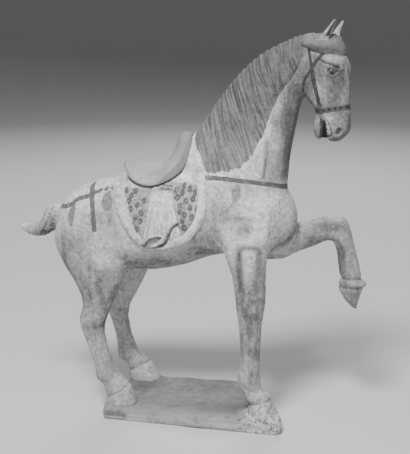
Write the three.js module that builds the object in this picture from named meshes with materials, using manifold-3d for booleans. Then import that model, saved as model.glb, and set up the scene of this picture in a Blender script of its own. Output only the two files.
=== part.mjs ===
// A pottery tomb horse. One fired piece is the horse itself, with its modelled mane, its saddle cloth in relief
// and its bound tail. A saddle of its own lies on its back, and a slab of clay carries its three standing hooves.
// Millimetres, +Z up, the head towards +X. The origin is below the horse's middle, on the slab's underside.
// The horse's right side faces -Y.

import * as THREE from "three";
import { mergeVertices } from "three/addons/utils/BufferGeometryUtils.js";
import Module from "manifold-3d";

const wasm = await Module();
wasm.setup();

// Driving sizes
const FIGURE_HEIGHT = 449; // soles of the hooves to the tip of the right ear
const PLINTH_THICKNESS = 14;
const PLINTH_NEAR_MARGIN = 2; // how far the slab reaches past the soles on the horse's right
const PLINTH_FAR_MARGIN = 6; // and on its left
const PLINTH_TOE_MARGIN = 6.5; // and past the toe of the standing forehoof
const PLINTH_HEEL_MARGIN = 0.5; // and past the heel of the right hind hoof
const PLINTH_ASKEW = 46; // how much shorter the slab is along its far edge, at the head end
const PLINTH_EDGE = 3; // how far its worn edges are rounded over
const SEAM = 0.3; // the thin joint of slip between two pieces
const CLOTH_THICKNESS = 2.2; // how far the saddle cloth stands above the flank
const BORDER_RISE = 1.8; // how far the cloth's rolled border stands above the cloth
const BORDER_WIDTH = 9;
const APRON_RISE = 2.5; // how far the plain apron stands above the cloth
const LOCK_COUNT = 26; // locks of the mane
const LOCK_DEPTH = 2.4; // depth of the grooves between them
const HEAD_TURN = 9; // degrees that the head turns towards the horse's right
const EYE_RADIUS = 5;
const NOSTRIL_RADIUS = 3.2;

// The figure's pose and proportions are written for a figure of this height, and unit scales them.
const MODELLED_HEIGHT = 449;
const unit = FIGURE_HEIGHT / MODELLED_HEIGHT;

// Rib tables. A rib is one cross-section of a limb: a point on its front or top outline, the point across from
// it, how far its middle lies off the horse's centre plane, and its half-width. Two more numbers are optional:
// how much wider it is in front than behind, and how square it is. [x, z, x, z, y, half-width, wedge, square]
const TORSO = {
  tailHead: [-169, 227, -173, 196, 0, 12],
  buttock: [-166, 238, -171, 184, 0, 27],
  rump: [-155, 248, -158, 168, 0, 38.5],
  hip: [-139, 256.5, -137, 159, 0, 46.5],
  croup: [-115, 264, -112, 156.5, 0, 50.5],
  loin: [-85, 265, -85, 156, 0, 50.5],
  flank: [-50, 264, -50, 157.8, 0, 51],
  barrel: [-15, 279, -17, 165.8, 0, 50],
  girth: [15, 290, 12, 177.5, 0, 48, -0.05],
  withers: [46, 291, 42, 183, 0, 46.5, -0.1],
  shoulder: [74, 281, 66, 178.5, 0, 43, -0.05],
  breast: [93.5, 266, 88, 187, 0, 35.5],
  point: [104, 251, 104, 199, 0, 24],
  front: [110.5, 235, 110.5, 212, 0, 10],
};
const NECK = {
  root: [90, 224, -24, 262, 0, 44, -0.1],
  base: [98.3, 250, -17, 298, 0, 43],
  low: [100.3, 274, -5, 319, 0, 37.5, 0.12],
  middle: [102.5, 300, 14, 338, 0, 31.5, 0.18],
  upper: [107, 326, 37, 371, 0, 26.5, 0.15],
  throat: [111, 348, 62, 396, 0, 23.5, 0.1],
  nape: [115, 363, 86, 411, 0, 21, 0.1],
  poll: [124, 377, 108, 420, 0, 18],
  crown: [136, 388, 130, 424, 0, 15],
};
const HEAD = {
  crown: [145, 432, 130, 434, 0, 6],
  forehead: [153, 427, 120, 428, 0, 14],
  temple: [159, 415, 112, 416, 0, 18, 0, 0.2],
  brow: [167.5, 400, 109, 402, 0, 20.5, -0.05, 0.35],
  eye: [167.7, 387, 108.5, 388, 0, 20, -0.15, 0.4],
  cheek: [167.5, 373, 112, 374, 0, 17.8, -0.28, 0.4],
  jowl: [168, 360, 122, 361, 0, 15, -0.25, 0.4],
  nose: [168.6, 348, 133, 348, 0, 12.5, -0.1, 0.4],
  bridle: [169, 338, 139.5, 338, 0, 12, 0, 0.4],
  nostril: [168, 329, 142.5, 328.5, 0, 13.2, 0.08, 0.35],
  lip: [162, 321.5, 144.5, 320, 0, 11.5, 0, 0.2],
  mouth: [155.5, 316.5, 149, 316, 0, 7],
};
const JAW = {
  hinge: [142, 374, 118, 371, 0, 12],
  branch: [140, 358, 126.5, 357, 0, 10],
  bar: [138.3, 347, 130, 346.5, 0, 8.6],
  groove: [137.5, 338, 128, 337, 0, 8.8],
  chin: [138.5, 329, 128, 328, 0, 9.3],
  underlip: [138.5, 322, 131, 321, 0, 8],
  edge: [137, 319, 133.5, 319, 0, 4],
};
const FORELOCK = {
  tip: [112, 425.5, 112, 423.5, 0, 17],
  wing: [121, 430, 119, 417.5, 0, 21],
  side: [133, 434, 129, 413, 0, 23],
  middle: [145, 435, 141, 410.5, 0, 22.5],
  parting: [152, 431.5, 150, 410.5, 0, 19],
  brow: [157.5, 424, 156.5, 411.5, 0, 12.5],
  point: [160.5, 419.5, 161, 413.5, 0, 5],
};
const EAR = {
  base: [151, 426, 138.5, 430, 12, 6],
  bowl: [152, 434, 142, 437, 13, 5.2],
  blade: [153.5, 442, 148, 443.5, 13, 3.6],
  tip: [154.2, 449, 152.8, 449, 12.5, 0.8],
};
const EAR_HOLLOW = {
  bottom: [154, 431, 147, 433, 14, 2.8],
  middle: [155.5, 439, 150.5, 440.5, 14, 2.2],
  top: [154.6, 447, 153, 447, 13.5, 0.5],
};
const TAIL = {
  dock: [-160, 238, -168, 200, 0, 11],
  root: [-175.5, 229.5, -178, 199, 0, 11.5],
  bun: [-187, 229, -186, 194, 0, 12],
  knot: [-193.5, 221, -194, 189.5, 0, 11.5],
  band: [-197.5, 210, -202, 188, 0, 10],
  lobe: [-206, 204.5, -212, 189, 0, 9],
  turn: [-217.5, 203.5, -220, 193.5, 0, 7],
  tip: [-225.5, 203.5, -226.5, 199.5, 0, 3.5],
};
const RIGHT_HIND_LEG = {
  hip: [-112, 250, -148, 247, -14, 14],
  haunch: [-98, 233, -161, 231, -22, 21],
  thigh: [-88, 211, -170.5, 210, -27, 23.5],
  stifle: [-83, 187, -171, 188, -29, 24],
  buttock: [-83, 168, -160.5, 167, -29.5, 24],
  calf: [-88.5, 148, -147.5, 147, -30, 21.3],
  gaskin: [-95, 131, -139, 130, -31, 18],
  taper: [-102, 116, -136.5, 117, -32, 15],
  hock: [-109.3, 97, -141.5, 100, -33, 13],
  shank: [-110.5, 84, -138.7, 88, -34, 11.5],
  cannon: [-105.5, 62, -129.5, 65, -35.5, 10],
  lowCannon: [-98, 46, -122, 46, -37, 10],
  fetlock: [-90, 35, -120.5, 29, -38, 11.5],
  pastern: [-84.5, 29.5, -109.5, 20.5, -39, 11.8],
  coronet: [-77.5, 24, -106, 13.5, -40, 13.8],
  wall: [-73, 13, -107.5, 8, -40, 15],
  sole: [-69, 0, -107, 0, -40, 16.5],
};
const LEFT_HIND_LEG = {
  hip: [-107, 249, -144, 246, 14, 14],
  haunch: [-93, 231, -156, 229, 22, 21],
  thigh: [-81, 207, -164, 205, 27, 23.5],
  stifle: [-73, 183, -163, 183, 29, 24],
  buttock: [-70.5, 163, -154, 161, 29.5, 24],
  calf: [-75, 146, -141, 142, 30, 21],
  gaskin: [-83, 130, -131, 125, 31, 17.5],
  taper: [-91, 115, -126.5, 111, 32, 15],
  hock: [-100, 99, -129.5, 97, 33, 13],
  shank: [-102.8, 82, -125.5, 82, 34, 11.5],
  cannon: [-99.3, 60, -119.7, 60, 35.5, 10],
  lowCannon: [-93.5, 43.5, -118.5, 43, 37, 10],
  fetlock: [-86, 33, -118, 27, 38, 11.5],
  pastern: [-80.5, 28.5, -105, 21, 39, 12],
  coronet: [-74.5, 22, -104, 14, 40, 13.8],
  wall: [-69.5, 12, -104.5, 7, 40, 15],
  sole: [-62.5, 0, -103, 0, 40, 16.5],
};
const RIGHT_FORELEG = {
  blade: [76, 266, 40, 260, -14, 13],
  shoulder: [86, 247, 28, 241, -23, 19],
  arm: [90, 223, 22, 218, -29.5, 19.5],
  elbow: [87, 204, 28, 201, -32.5, 18.8],
  forearm: [84, 185, 36, 183, -34, 17.5],
  taper: [82.3, 167, 43, 166, -35, 15.5],
  overKnee: [82.8, 146, 46.8, 145, -36, 14],
  knee: [81.8, 128, 48.8, 127, -37, 13],
  cannon: [78.7, 108, 51.8, 108, -37.5, 11.8],
  lowCannon: [77.6, 84, 54, 84, -38, 10.6],
  overFetlock: [77.2, 60, 53.5, 60, -38.5, 10.3],
  fetlock: [78, 42, 51.3, 40, -39.5, 11.8],
  pastern: [79.5, 34, 58, 29, -40, 12],
  coronet: [90.5, 25.5, 65, 19, -41, 14],
  wall: [95.5, 13, 64.5, 9, -42, 15.5],
  sole: [103, 0, 62, 0, -42, 17],
};
const LEFT_FORELEG = {
  shoulder: [50, 238, 38, 190, 20, 17],
  arm: [76, 226, 58, 170, 26, 19],
  elbow: [93, 217.5, 76, 169.5, 27, 18.5],
  forearm: [108, 216, 94, 171.5, 28, 17],
  taper: [121, 219, 108.5, 180.5, 29, 15.5],
  overKnee: [134, 223.5, 128, 188.5, 29, 14],
  knee: [148, 228.3, 141, 195.5, 29, 13.5],
  bend: [158.5, 227, 149, 196, 29, 13.5],
  underKnee: [166, 219, 151.8, 190, 29, 12.5],
  cannon: [170, 207, 154, 182, 29, 11.5],
  lowCannon: [174.8, 190, 155.3, 172, 29, 10],
  overFetlock: [180.8, 168, 156.8, 160, 29, 9.5],
  fetlock: [183.8, 152, 160, 150.5, 29, 10],
  coronet: [188, 145.5, 156, 142.5, 29, 12.8],
  wall: [184.3, 137.5, 158, 137, 29, 11.5],
  sole: [181.5, 127, 164.5, 126, 29, 7.5],
  tip: [178.5, 116, 174.5, 116.5, 29, 2.5],
};

// Arch tables. An arch is one hoop over the centre plane: its crown, its feet at the sides, and how far the feet
// lie from the plane. [crown x, crown z, feet x, feet z, half-width]
const MANE = [
  [-4, 323, 14, 271, 42.5],
  [2.5, 335.5, 26, 274, 41.5],
  [13, 352, 42, 279, 39.5],
  [25, 367.7, 56, 291, 36],
  [35.5, 382, 66, 313, 32.5],
  [49.5, 397, 74, 340, 30],
  [66.5, 411.2, 84, 362, 27.5],
  [85, 422, 97, 378, 25],
  [100, 428.5, 109, 396, 22.5],
  [115, 433.5, 117, 412, 20],
  [126, 435.5, 126, 420, 18],
];
const SADDLE = [
  [-92, 285, -84, 277, 20],
  [-88, 289, -78, 271, 27],
  [-79, 288, -70, 266, 31],
  [-66, 284.5, -58, 263.5, 33],
  [-53, 284, -47, 264.5, 33],
  [-42, 288.5, -36, 268.5, 32],
  [-34, 297, -27, 273.5, 30],
  [-29, 308, -19, 281, 27],
  [-24, 319, -12, 291, 24],
  [-18, 322, -7, 301, 20],
  [-12, 319, -4, 311, 14],
];

// Outlines seen from the side, and marks on the head. [x, z], [x, y, z]
const CLOTH_OUTLINE = [
  [-10, 324], [3, 308], [10, 290], [14, 266], [15, 246], [11, 227], [-1, 208], [-15, 199], [-34, 194],
  [-54, 193], [-66, 202], [-78, 218], [-89, 238], [-97, 254], [-101, 285], [-50, 324],
];
const APRON_OUTLINE = [
  [-52, 254], [-40, 257], [-27, 257], [-20, 240], [-15, 225], [-23, 216], [-31, 202], [-45, 195], [-56, 195],
  [-54, 208], [-51, 232],
];
const EYE = [151, 15.5, 395.5];
const NOSTRIL = [160, 14, 330.5];
const NAPE = 118; // how far ahead of the origin the head turns on the neck
const LEFT_EAR_LEAN = [2, -6]; // how far the left ear's tip lies ahead of the right one's, and above it

// Reads a table of ribs or arches at any place between its rows, smoothly.
function between(rows) {
  const places = rows.map((_, i) => i);
  const curve = new THREE.CubicInterpolant(places, rows.flat(), rows[0].length);
  return (t) => Array.from(curve.evaluate(THREE.MathUtils.clamp(t, 0, rows.length - 1)));
}

// A closed list of faces as a solid, turned the right way out.
function solid(points, faces) {
  const volume = faces.reduce((sum, [a, b, c]) => {
    const normal = new THREE.Vector3().crossVectors(points[b], points[c]);
    return sum + points[a].dot(normal);
  }, 0);
  const outward = volume > 0 ? faces : faces.map(([a, b, c]) => [a, c, b]);
  return new wasm.Manifold(new wasm.Mesh({
    numProp: 3,
    vertProperties: Float32Array.from(points.flatMap((p) => p.toArray())),
    triVerts: Uint32Array.from(outward.flat()),
  }));
}

// Rings of points, all the same length, joined into one closed solid with a fan at either end.
function skin(rings) {
  const around = rings[0].length;
  const points = rings.flat();
  const faces = [];
  for (let r = 0; r + 1 < rings.length; r++) {
    for (let i = 0; i < around; i++) {
      const a = r * around + i;
      const b = r * around + ((i + 1) % around);
      faces.push([a, b, b + around], [a, b + around, a + around]);
    }
  }
  const close = (ring, first, flip) => {
    const hub = points.length;
    points.push(ring.reduce((sum, p) => sum.add(p), new THREE.Vector3()).divideScalar(around));
    for (let i = 0; i < around; i++) {
      const pair = [first + i, first + ((i + 1) % around)];
      faces.push(flip ? [hub, pair[1], pair[0]] : [hub, pair[0], pair[1]]);
    }
  };
  close(rings[0], 0, true);
  close(rings.at(-1), (rings.length - 1) * around, false);
  return solid(points, faces);
}

// A limb lofted through its ribs. grow thickens it all over, in millimetres.
function limb(ribs, { around = 14, perRib = 2, grow = 0 } = {}) {
  const rows = Object.values(ribs).map((rib) => [...rib, 0, 0].slice(0, 8));
  const at = between(rows);
  const steps = (rows.length - 1) * perRib;
  const rings = [];
  for (let s = 0; s <= steps; s++) {
    const [fx, fz, bx, bz, y, half, wedge, square] = at(s / perRib);
    const centre = new THREE.Vector3((fx + bx) / 2, y, (fz + bz) / 2).multiplyScalar(unit);
    const front = new THREE.Vector3(fx - bx, 0, fz - bz).multiplyScalar(unit / 2);
    front.setLength(front.length() + grow);
    const rounded = (v) => Math.sign(v) * Math.abs(v) ** (1 - square / 2);
    const ring = [];
    for (let i = 0; i < around; i++) {
      const angle = (i / around) * Math.PI * 2;
      const ahead = rounded(Math.cos(angle));
      const side = rounded(Math.sin(angle)) * (half * unit + grow) * (1 + wedge * ahead);
      ring.push(new THREE.Vector3(0, side, 0).addScaledVector(front, ahead).add(centre));
    }
    rings.push(ring);
  }
  return skin(rings);
}

// A hoop-shaped mass lofted through its arches. dent(step) sinks a hoop and lifts its feet, in millimetres.
function arched(arches, { across = 6, steps = 2 * (arches.length - 1), dent = () => 0 } = {}) {
  const at = between(arches);
  const rings = [];
  for (let s = 0; s <= steps; s++) {
    const [cx, cz, fx, fz, half] = at((s / steps) * (arches.length - 1)).map((size) => size * unit);
    const foot = new THREE.Vector3(fx, 0, fz);
    const rise = new THREE.Vector3(cx, 0, cz).sub(foot);
    const height = rise.length();
    foot.addScaledVector(rise, dent(s) / height);
    rise.setLength(height - 2 * dent(s));
    const ring = [];
    for (let i = -across; i <= across; i++) {
      const angle = (i / across) * (Math.PI / 2);
      const side = Math.sin(angle) * (half - dent(s));
      ring.push(new THREE.Vector3(0, side, 0).addScaledVector(rise, Math.cos(angle)).add(foot));
    }
    rings.push(ring);
  }
  return skin(rings);
}

function fromGeometry(geometry) {
  const bare = geometry.clone().deleteAttribute("normal").deleteAttribute("uv");
  const merged = mergeVertices(bare, 1e-4);
  const position = merged.getAttribute("position");
  const points = [];
  for (let i = 0; i < position.count; i++) points.push(new THREE.Vector3().fromBufferAttribute(position, i));
  const faces = [];
  for (let i = 0; i < merged.index.count; i += 3) faces.push([0, 1, 2].map((n) => merged.index.getX(i + n)));
  return solid(points, faces);
}

function toGeometry(made) {
  const { numProp, vertProperties, triVerts } = made.getMesh();
  const position = new Float32Array((vertProperties.length / numProp) * 3);
  for (let i = 0; i < position.length; i++) {
    position[i] = vertProperties[Math.floor(i / 3) * numProp + (i % 3)];
  }
  return new THREE.BufferGeometry()
    .setAttribute("position", new THREE.BufferAttribute(position, 3))
    .setIndex(new THREE.BufferAttribute(triVerts, 1));
}

// The region inside a smooth side outline, right through the figure. inset draws the outline in, in millimetres.
function sideways(outline, inset = 0) {
  const reach = 80 * unit;
  const points = outline.map(([x, z]) => new THREE.Vector2(x, z).multiplyScalar(unit));
  const middle = points.reduce((sum, p) => sum.add(p), new THREE.Vector2()).divideScalar(points.length);
  const moved = points.map((p) => p.clone().sub(middle).setLength(p.distanceTo(middle) - inset).add(middle));
  const shape = new THREE.Shape();
  shape.moveTo(moved[0].x, moved[0].y);
  shape.splineThru([...moved.slice(1), moved[0]]);
  const slab = new THREE.ExtrudeGeometry(shape, { depth: 2 * reach, bevelEnabled: false, curveSegments: 2 });
  slab.translate(0, 0, -reach).rotateX(Math.PI / 2);
  return fromGeometry(slab);
}

// A ball at a mark on the head, on the horse's left for side 1 and on its right for side -1
function ball([x, y, z], radius, side) {
  const sphere = new THREE.SphereGeometry(radius * unit, 8, 6);
  return fromGeometry(sphere.translate(x * unit, side * y * unit, z * unit));
}

const union = (...solids) => solids.reduce((sum, next) => sum.add(next));

// Body and neck
const trunk = (grow = 0) => union(
  limb(TORSO, { around: 16, grow }),
  limb(NECK, { around: 14, grow }),
);

function ear(side) {
  const [ahead, up] = side > 0 ? LEFT_EAR_LEAN : [0, 0];
  const placed = (ribs) => Object.values(ribs).map(([fx, fz, bx, bz, y, half]) => {
    const share = (fz - EAR.base[1]) / (EAR.tip[1] - EAR.base[1]);
    return [fx + ahead * share, fz + up * share, bx + ahead * share, bz + up * share, side * y, half];
  });
  return limb(placed(EAR), { around: 8 }).subtract(limb(placed(EAR_HOLLOW), { around: 5, perRib: 1 }));
}

function headSolid() {
  let head = union(limb(HEAD, { around: 16 }), limb(JAW, { around: 10 }), limb(FORELOCK, { around: 12 }));
  for (const side of [-1, 1]) {
    head = union(head, ear(side), ball(EYE, EYE_RADIUS, side)).subtract(ball(NOSTRIL, NOSTRIL_RADIUS, side));
  }
  const turned = toGeometry(head).translate(-NAPE * unit, 0, 0);
  turned.rotateZ(THREE.MathUtils.degToRad(-HEAD_TURN)).translate(NAPE * unit, 0, 0);
  return fromGeometry(turned);
}

// Each lock has two hoops: the groove beside it and its own back.
const mane = (grow = 0) => arched(MANE, {
  across: 4,
  steps: 2 * LOCK_COUNT,
  dent: (step) => (step % 2 ? 0 : LOCK_DEPTH) - grow,
});

// The cloth with its rolled border and the apron that hangs on it
function cloth(grow = 0) {
  const raised = (height, outline) => trunk(height + grow).intersect(sideways(outline, -grow));
  const field = raised(CLOTH_THICKNESS, CLOTH_OUTLINE);
  const border = raised(CLOTH_THICKNESS + BORDER_RISE, CLOTH_OUTLINE)
    .subtract(sideways(CLOTH_OUTLINE, BORDER_WIDTH + grow));
  return union(field, border, raised(CLOTH_THICKNESS + APRON_RISE, APRON_OUTLINE));
}

const horse = union(
  trunk(),
  headSolid(),
  limb(TAIL, { around: 10 }),
  ...[RIGHT_HIND_LEG, LEFT_HIND_LEG, RIGHT_FORELEG, LEFT_FORELEG].map((leg) => limb(leg, { perRib: 1 })),
  mane(),
  cloth(),
);

const saddle = [trunk(SEAM), mane(SEAM), cloth(SEAM)].reduce((left, bed) => left.subtract(bed), arched(SADDLE));

// The slab in plan, corner by corner: how far along, how far across, and the corner's radius. It lies under the
// three soles, each of which is the last rib of its leg.
function plinthGeometry() {
  const [hindToe, , hindHeel, , hindSide, hindHalf] = RIGHT_HIND_LEG.sole;
  const [foreToe, , , , foreSide, foreHalf] = RIGHT_FORELEG.sole;
  const [, , , , farSide, farHalf] = LEFT_HIND_LEG.sole;
  const tail = hindHeel * unit - PLINTH_HEEL_MARGIN;
  const head = foreToe * unit + PLINTH_TOE_MARGIN;
  const near = Math.min(hindSide - hindHalf, foreSide - foreHalf) * unit - PLINTH_NEAR_MARGIN;
  const far = (farSide + farHalf) * unit + PLINTH_FAR_MARGIN;
  const width = (hindToe - hindHeel) * unit;
  const corners = [
    [tail, near, 0.13],
    [head, near, 0.42],
    [head - PLINTH_ASKEW, far, 0.6],
    [tail + PLINTH_ASKEW / 8, far, 0.35],
  ].map(([x, y, share]) => ({ at: new THREE.Vector2(x, y), radius: share * width }));
  const outline = new THREE.Shape();
  corners.forEach(({ at, radius }, i) => {
    const along = (other) => other.at.clone().sub(at).setLength(radius).add(at);
    const start = along(corners.at(i - 1));
    const end = along(corners[(i + 1) % corners.length]);
    if (i === 0) outline.moveTo(start.x, start.y);
    else outline.lineTo(start.x, start.y);
    outline.quadraticCurveTo(at.x, at.y, end.x, end.y);
  });
  const slab = new THREE.ExtrudeGeometry(outline, {
    depth: PLINTH_THICKNESS - 2 * PLINTH_EDGE,
    bevelThickness: PLINTH_EDGE,
    bevelSize: PLINTH_EDGE,
    bevelOffset: -PLINTH_EDGE,
    bevelSegments: 2,
    curveSegments: 5,
  });
  return slab.translate(0, 0, PLINTH_EDGE);
}

function piece(name, geometry, colour, roughness) {
  const material = new THREE.MeshStandardMaterial({ color: colour, roughness, metalness: 0, flatShading: true });
  const mesh = new THREE.Mesh(geometry, material);
  mesh.name = name;
  return mesh;
}

const figure = new THREE.Group();
figure.position.z = PLINTH_THICKNESS + SEAM;
figure.add(piece("horse", toGeometry(horse), 0xc4c2be, 0.85));
figure.add(piece("saddle", toGeometry(saddle), 0xa3a19d, 0.75));

const tombHorse = new THREE.Group();
tombHorse.add(figure);
tombHorse.add(piece("plinth", plinthGeometry(), 0x9a9894, 0.85));

export default tombHorse;
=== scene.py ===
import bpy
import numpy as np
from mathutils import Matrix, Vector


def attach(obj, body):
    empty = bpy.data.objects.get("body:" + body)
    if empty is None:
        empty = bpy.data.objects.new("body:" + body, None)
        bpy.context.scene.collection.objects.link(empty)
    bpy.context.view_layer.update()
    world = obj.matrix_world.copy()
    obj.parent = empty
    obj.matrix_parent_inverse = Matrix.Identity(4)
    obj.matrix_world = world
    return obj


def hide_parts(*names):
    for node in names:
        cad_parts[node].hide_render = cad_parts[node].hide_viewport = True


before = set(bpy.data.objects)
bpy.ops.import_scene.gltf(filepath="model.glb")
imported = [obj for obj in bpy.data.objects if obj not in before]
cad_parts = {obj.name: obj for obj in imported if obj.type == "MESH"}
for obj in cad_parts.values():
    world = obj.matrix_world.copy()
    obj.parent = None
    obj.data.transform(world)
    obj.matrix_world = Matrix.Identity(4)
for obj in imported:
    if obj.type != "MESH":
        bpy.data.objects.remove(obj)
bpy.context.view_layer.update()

# %% [markdown]
# # A prancing pottery horse
# The real object is a tomb figure of low-fired clay: a horse pressed in moulds, a saddle laid on its back,
# and a thin slab that three of its hooves are luted to. The whole figure was dipped in white slip and then
# painted. The solids that come in with the frame already have the right size, pose and outline, but they
# are faceted. This lesson turns each of them into worn, hand-finished clay: first the forms, then the
# carving, then the paint.

bpy.ops.object.select_all(action="DESELECT")
MM = 0.001
SOLES = 14.3 * MM  # the soles stand on the slab, above a thin joint of slip


def figure(points):
    """Places on the horse in millimetres, measured up from its soles."""
    return (points - (0, 0, SOLES)) / MM


def placed(spots):
    """The way back, from those millimetres to the frame's metres."""
    return spots * MM + (0, 0, SOLES)


# %% [markdown]
# ## Reading and moving the corners of a mesh
# Broad, soft clay forms are easier to shape by moving every corner a little than by pulling single faces.
# Blender hands all corners over at once as a table, and takes the moved table back.

# %% Corners, facings, faces and edges
def table(rows, field, width, kind=np.float32):
    flat = np.empty(len(rows) * width, kind)
    rows.foreach_get(field, flat)
    return flat.reshape(-1, width)


def corners_of(piece):
    return table(piece.data.vertices, "co", 3).astype(float)


def facings_of(piece):
    return table(piece.data.vertex_normals, "vector", 3).astype(float)


def face_middles_of(piece):
    return table(piece.data.polygons, "center", 3).astype(float)


def edges_of(piece):
    return table(piece.data.edges, "vertices", 2, np.int32)


def move_corners(piece, points):
    piece.data.vertices.foreach_set("co", points.astype(np.float32).ravel())
    piece.data.update()


# %% [markdown]
# Two more helpers soften things. The first evens numbers out over a net, and the second makes a soft step.

# %% Spreading and easing
def spread(values, edges, rounds, share):
    """Each round takes every value a share of the way to the mean of its neighbours."""
    a, b = edges.T
    values, size = values.astype(float), len(values)
    around = np.bincount(edges.ravel(), minlength=size).clip(1)[:, None]
    for _ in range(rounds):
        mean = [np.bincount(a, v[b], size) + np.bincount(b, v[a], size) for v in values.T]
        values = values + share * (np.stack(mean, 1) / around - values)
    return values


def ease(value, low, high):
    """0 below low, 1 above high, and a soft step between."""
    t = np.clip((value - low) / (high - low), 0, 1)
    return t * t * (3 - 2 * t)


# %% [markdown]
# ## Lines and outlines drawn on the clay
# A potter cuts a groove or paints a strap along a line. Here each line is a short list of points, and every
# corner of the mesh learns how far it lies from that line. Carving and paint are then both read from that
# distance.

# %% Distances to lines and outlines
def bow(points, closed=False, steps=6):
    """A smooth curve through the points."""
    p = np.array(points, float)
    ends = (p[-1:], p[:2]) if closed else (2 * p[:1] - p[1:2], 2 * p[-1:] - p[-2:-1])
    p = np.concatenate([ends[0], p, ends[1]])
    rows = []
    for i in range(1, len(p) - 2):
        for t in np.arange(steps) / steps:
            a, b, c, d = p[i - 1:i + 3]
            rows.append(b + 0.5 * ((c - a) * t + (2 * a - 5 * b + 4 * c - d) * t ** 2
                                   + (3 * b - a - 3 * c + d) * t ** 3))
    return np.array(rows + [p[-2]])


def away(spots, line):
    """The distance of every spot from an open line."""
    nearest = np.full(len(spots), 1e6)
    for a, b in zip(line[:-1], line[1:]):
        along = b - a
        share = np.clip((spots - a) @ along / max(along @ along, 1e-9), 0, 1)
        nearest = np.minimum(nearest, np.linalg.norm(spots - a - share[:, None] * along, axis=1))
    return nearest


def outside(spots, outline):
    """The distance of every spot from a closed outline, below zero inside it."""
    within = np.zeros(len(spots), bool)
    x, z = spots.T
    for (ax, az), (bx, bz) in zip(outline[:-1], outline[1:]):
        crosses = (az > z) != (bz > z)
        rise = bz - az if abs(bz - az) > 1e-9 else 1e-9
        within ^= crosses & (x < ax + (z - az) * (bx - ax) / rise)
    return np.where(within, -1, 1) * away(spots, outline)


def side_view(spots):
    return spots[:, [0, 2]]


# %% [markdown]
# ## From facets to clay
# A copy of the solid is merged, and a Remesh modifier lays an even net over it, so that no facet is left to
# follow. Then the net is relaxed: the barrel a lot, the legs less, the hooves, ears and head hardly. What
# relaxing took from the broad form is given back, so that the horse doesn't get thinner.

# %% An even net over a solid
def choose(piece):
    bpy.ops.object.select_all(action="DESELECT")
    piece.select_set(True)
    bpy.context.view_layer.objects.active = piece


def open_up(action="SELECT"):
    """Edit mode, with all of the mesh selected or, for "DESELECT", none of it."""
    bpy.ops.object.mode_set(mode="EDIT")
    bpy.ops.mesh.select_all(action=action)


def close_up():
    bpy.ops.object.mode_set(mode="OBJECT")


def finish(piece, kind, **settings):
    choose(piece)
    modifier = piece.modifiers.new(kind, kind)
    for name, value in settings.items():
        setattr(modifier, name, value)
    bpy.ops.object.modifier_apply(modifier=modifier.name)


def clay_copy(node, name, grain):
    piece = bpy.data.objects.new(name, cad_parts[node].data.copy())
    bpy.context.collection.objects.link(piece)
    choose(piece)
    piece.data.materials.clear()
    open_up()
    bpy.ops.mesh.remove_doubles(threshold=0.01 * MM)
    close_up()
    finish(piece, "REMESH", mode="VOXEL", voxel_size=grain, use_smooth_shade=True)
    print(name, "net of", len(piece.data.polygons), "faces")
    return piece


def relax(piece, blur, grain, rounds):
    """blur is how many millimetres wide each corner's surroundings are averaged."""
    edges, start = edges_of(piece), corners_of(piece)
    share = np.clip((blur * MM / grain) ** 2 / (0.5 * rounds), 0, 0.5).reshape(-1, 1)
    eased = spread(start, edges, rounds, share)
    move_corners(piece, eased + spread(start - eased, edges, rounds, share))


# %% [markdown]
# Mane and cloth are drawn from the side, ahead and up in millimetres, because their edges have to stay
# crisp. The mane is told hoop by hoop: the crown of each, and its feet at the sides of the neck.

# %% Outlines of mane and cloth
MANE = np.array([
    [-4, 323, 14, 271], [2.5, 335.5, 26, 274], [13, 352, 42, 279], [25, 367.7, 56, 291], [35.5, 382, 66, 313],
    [49.5, 397, 74, 340], [66.5, 411.2, 84, 362], [85, 422, 97, 378], [100, 428.5, 109, 396],
    [115, 433.5, 117, 412], [126, 435.5, 126, 420]])
CLOTH = bow([
    [-10, 324], [3, 308], [10, 290], [14, 266], [15, 246], [11, 227], [-1, 208], [-15, 199], [-34, 194],
    [-54, 193], [-66, 202], [-78, 218], [-89, 238], [-97, 254], [-101, 285], [-50, 324]], closed=True)
hoops = bow(MANE, steps=40)
crowns, feet = hoops[:, :2], hoops[:, 2:]
outward = (crowns - feet) / np.linalg.norm(crowns - feet, axis=1)[:, None]
mane_edge = np.concatenate([feet[::8], (crowns + 14 * outward)[::-40], feet[:1]])

# %% The horse's skin
GRAIN = 2.0 * MM
horse = clay_copy("horse", "horse_clay", GRAIN)
spots = figure(corners_of(horse))
x, z = side_view(spots).T
from_cloth = outside(side_view(spots), CLOTH)
from_mane = outside(side_view(spots), mane_edge)
blur = np.full(len(spots), 8.0)
for where, millimetres in (
        ((z > 262) & (x > -98) & (x < -24), 3.5),  # below the saddle
        (z < 172, 3.2), ((x > 112) & (z < 240), 3.2),  # the legs
        (z < 42, 1.7), (z < 16, 1.2), ((x > 150) & (z < 158), 1.3),  # fetlocks and hooves
        (x < -172, 2.2), ((x > 112) & (z > 318), 2.6), ((x > 110) & (z > 408), 1.8),  # tail and head
        ((x > 132) & (z > 430), 1.0), (from_mane < -3, 2.0)):  # ears and mane
    blur[where] = millimetres
blur = spread(blur[:, None], edges_of(horse), 12, 0.5)[:, 0]
near_step = np.minimum(np.abs(from_cloth), np.abs(from_mane))
blur = np.minimum(blur, 1.1 + 0.9 * np.clip(near_step - 2.5, 0, 20))
relax(horse, blur, GRAIN, rounds=80)
print("horse skin:", len(horse.data.vertices), "corners")

# %% [markdown]
# ## Mane and saddle cloth: raised pieces of the same clay
# On the real horse the mane and the cloth are raised a few millimetres above the skin, with crisp edges.
# They could be carved into the skin, but its net is too wide for them. So each is a lifted piece of the
# skin itself: the faces outside its outline are deleted, the rest subdivided, the rim set on the drawn
# outline, and a Solidify modifier gives it a wall that reaches down into the body.

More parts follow.
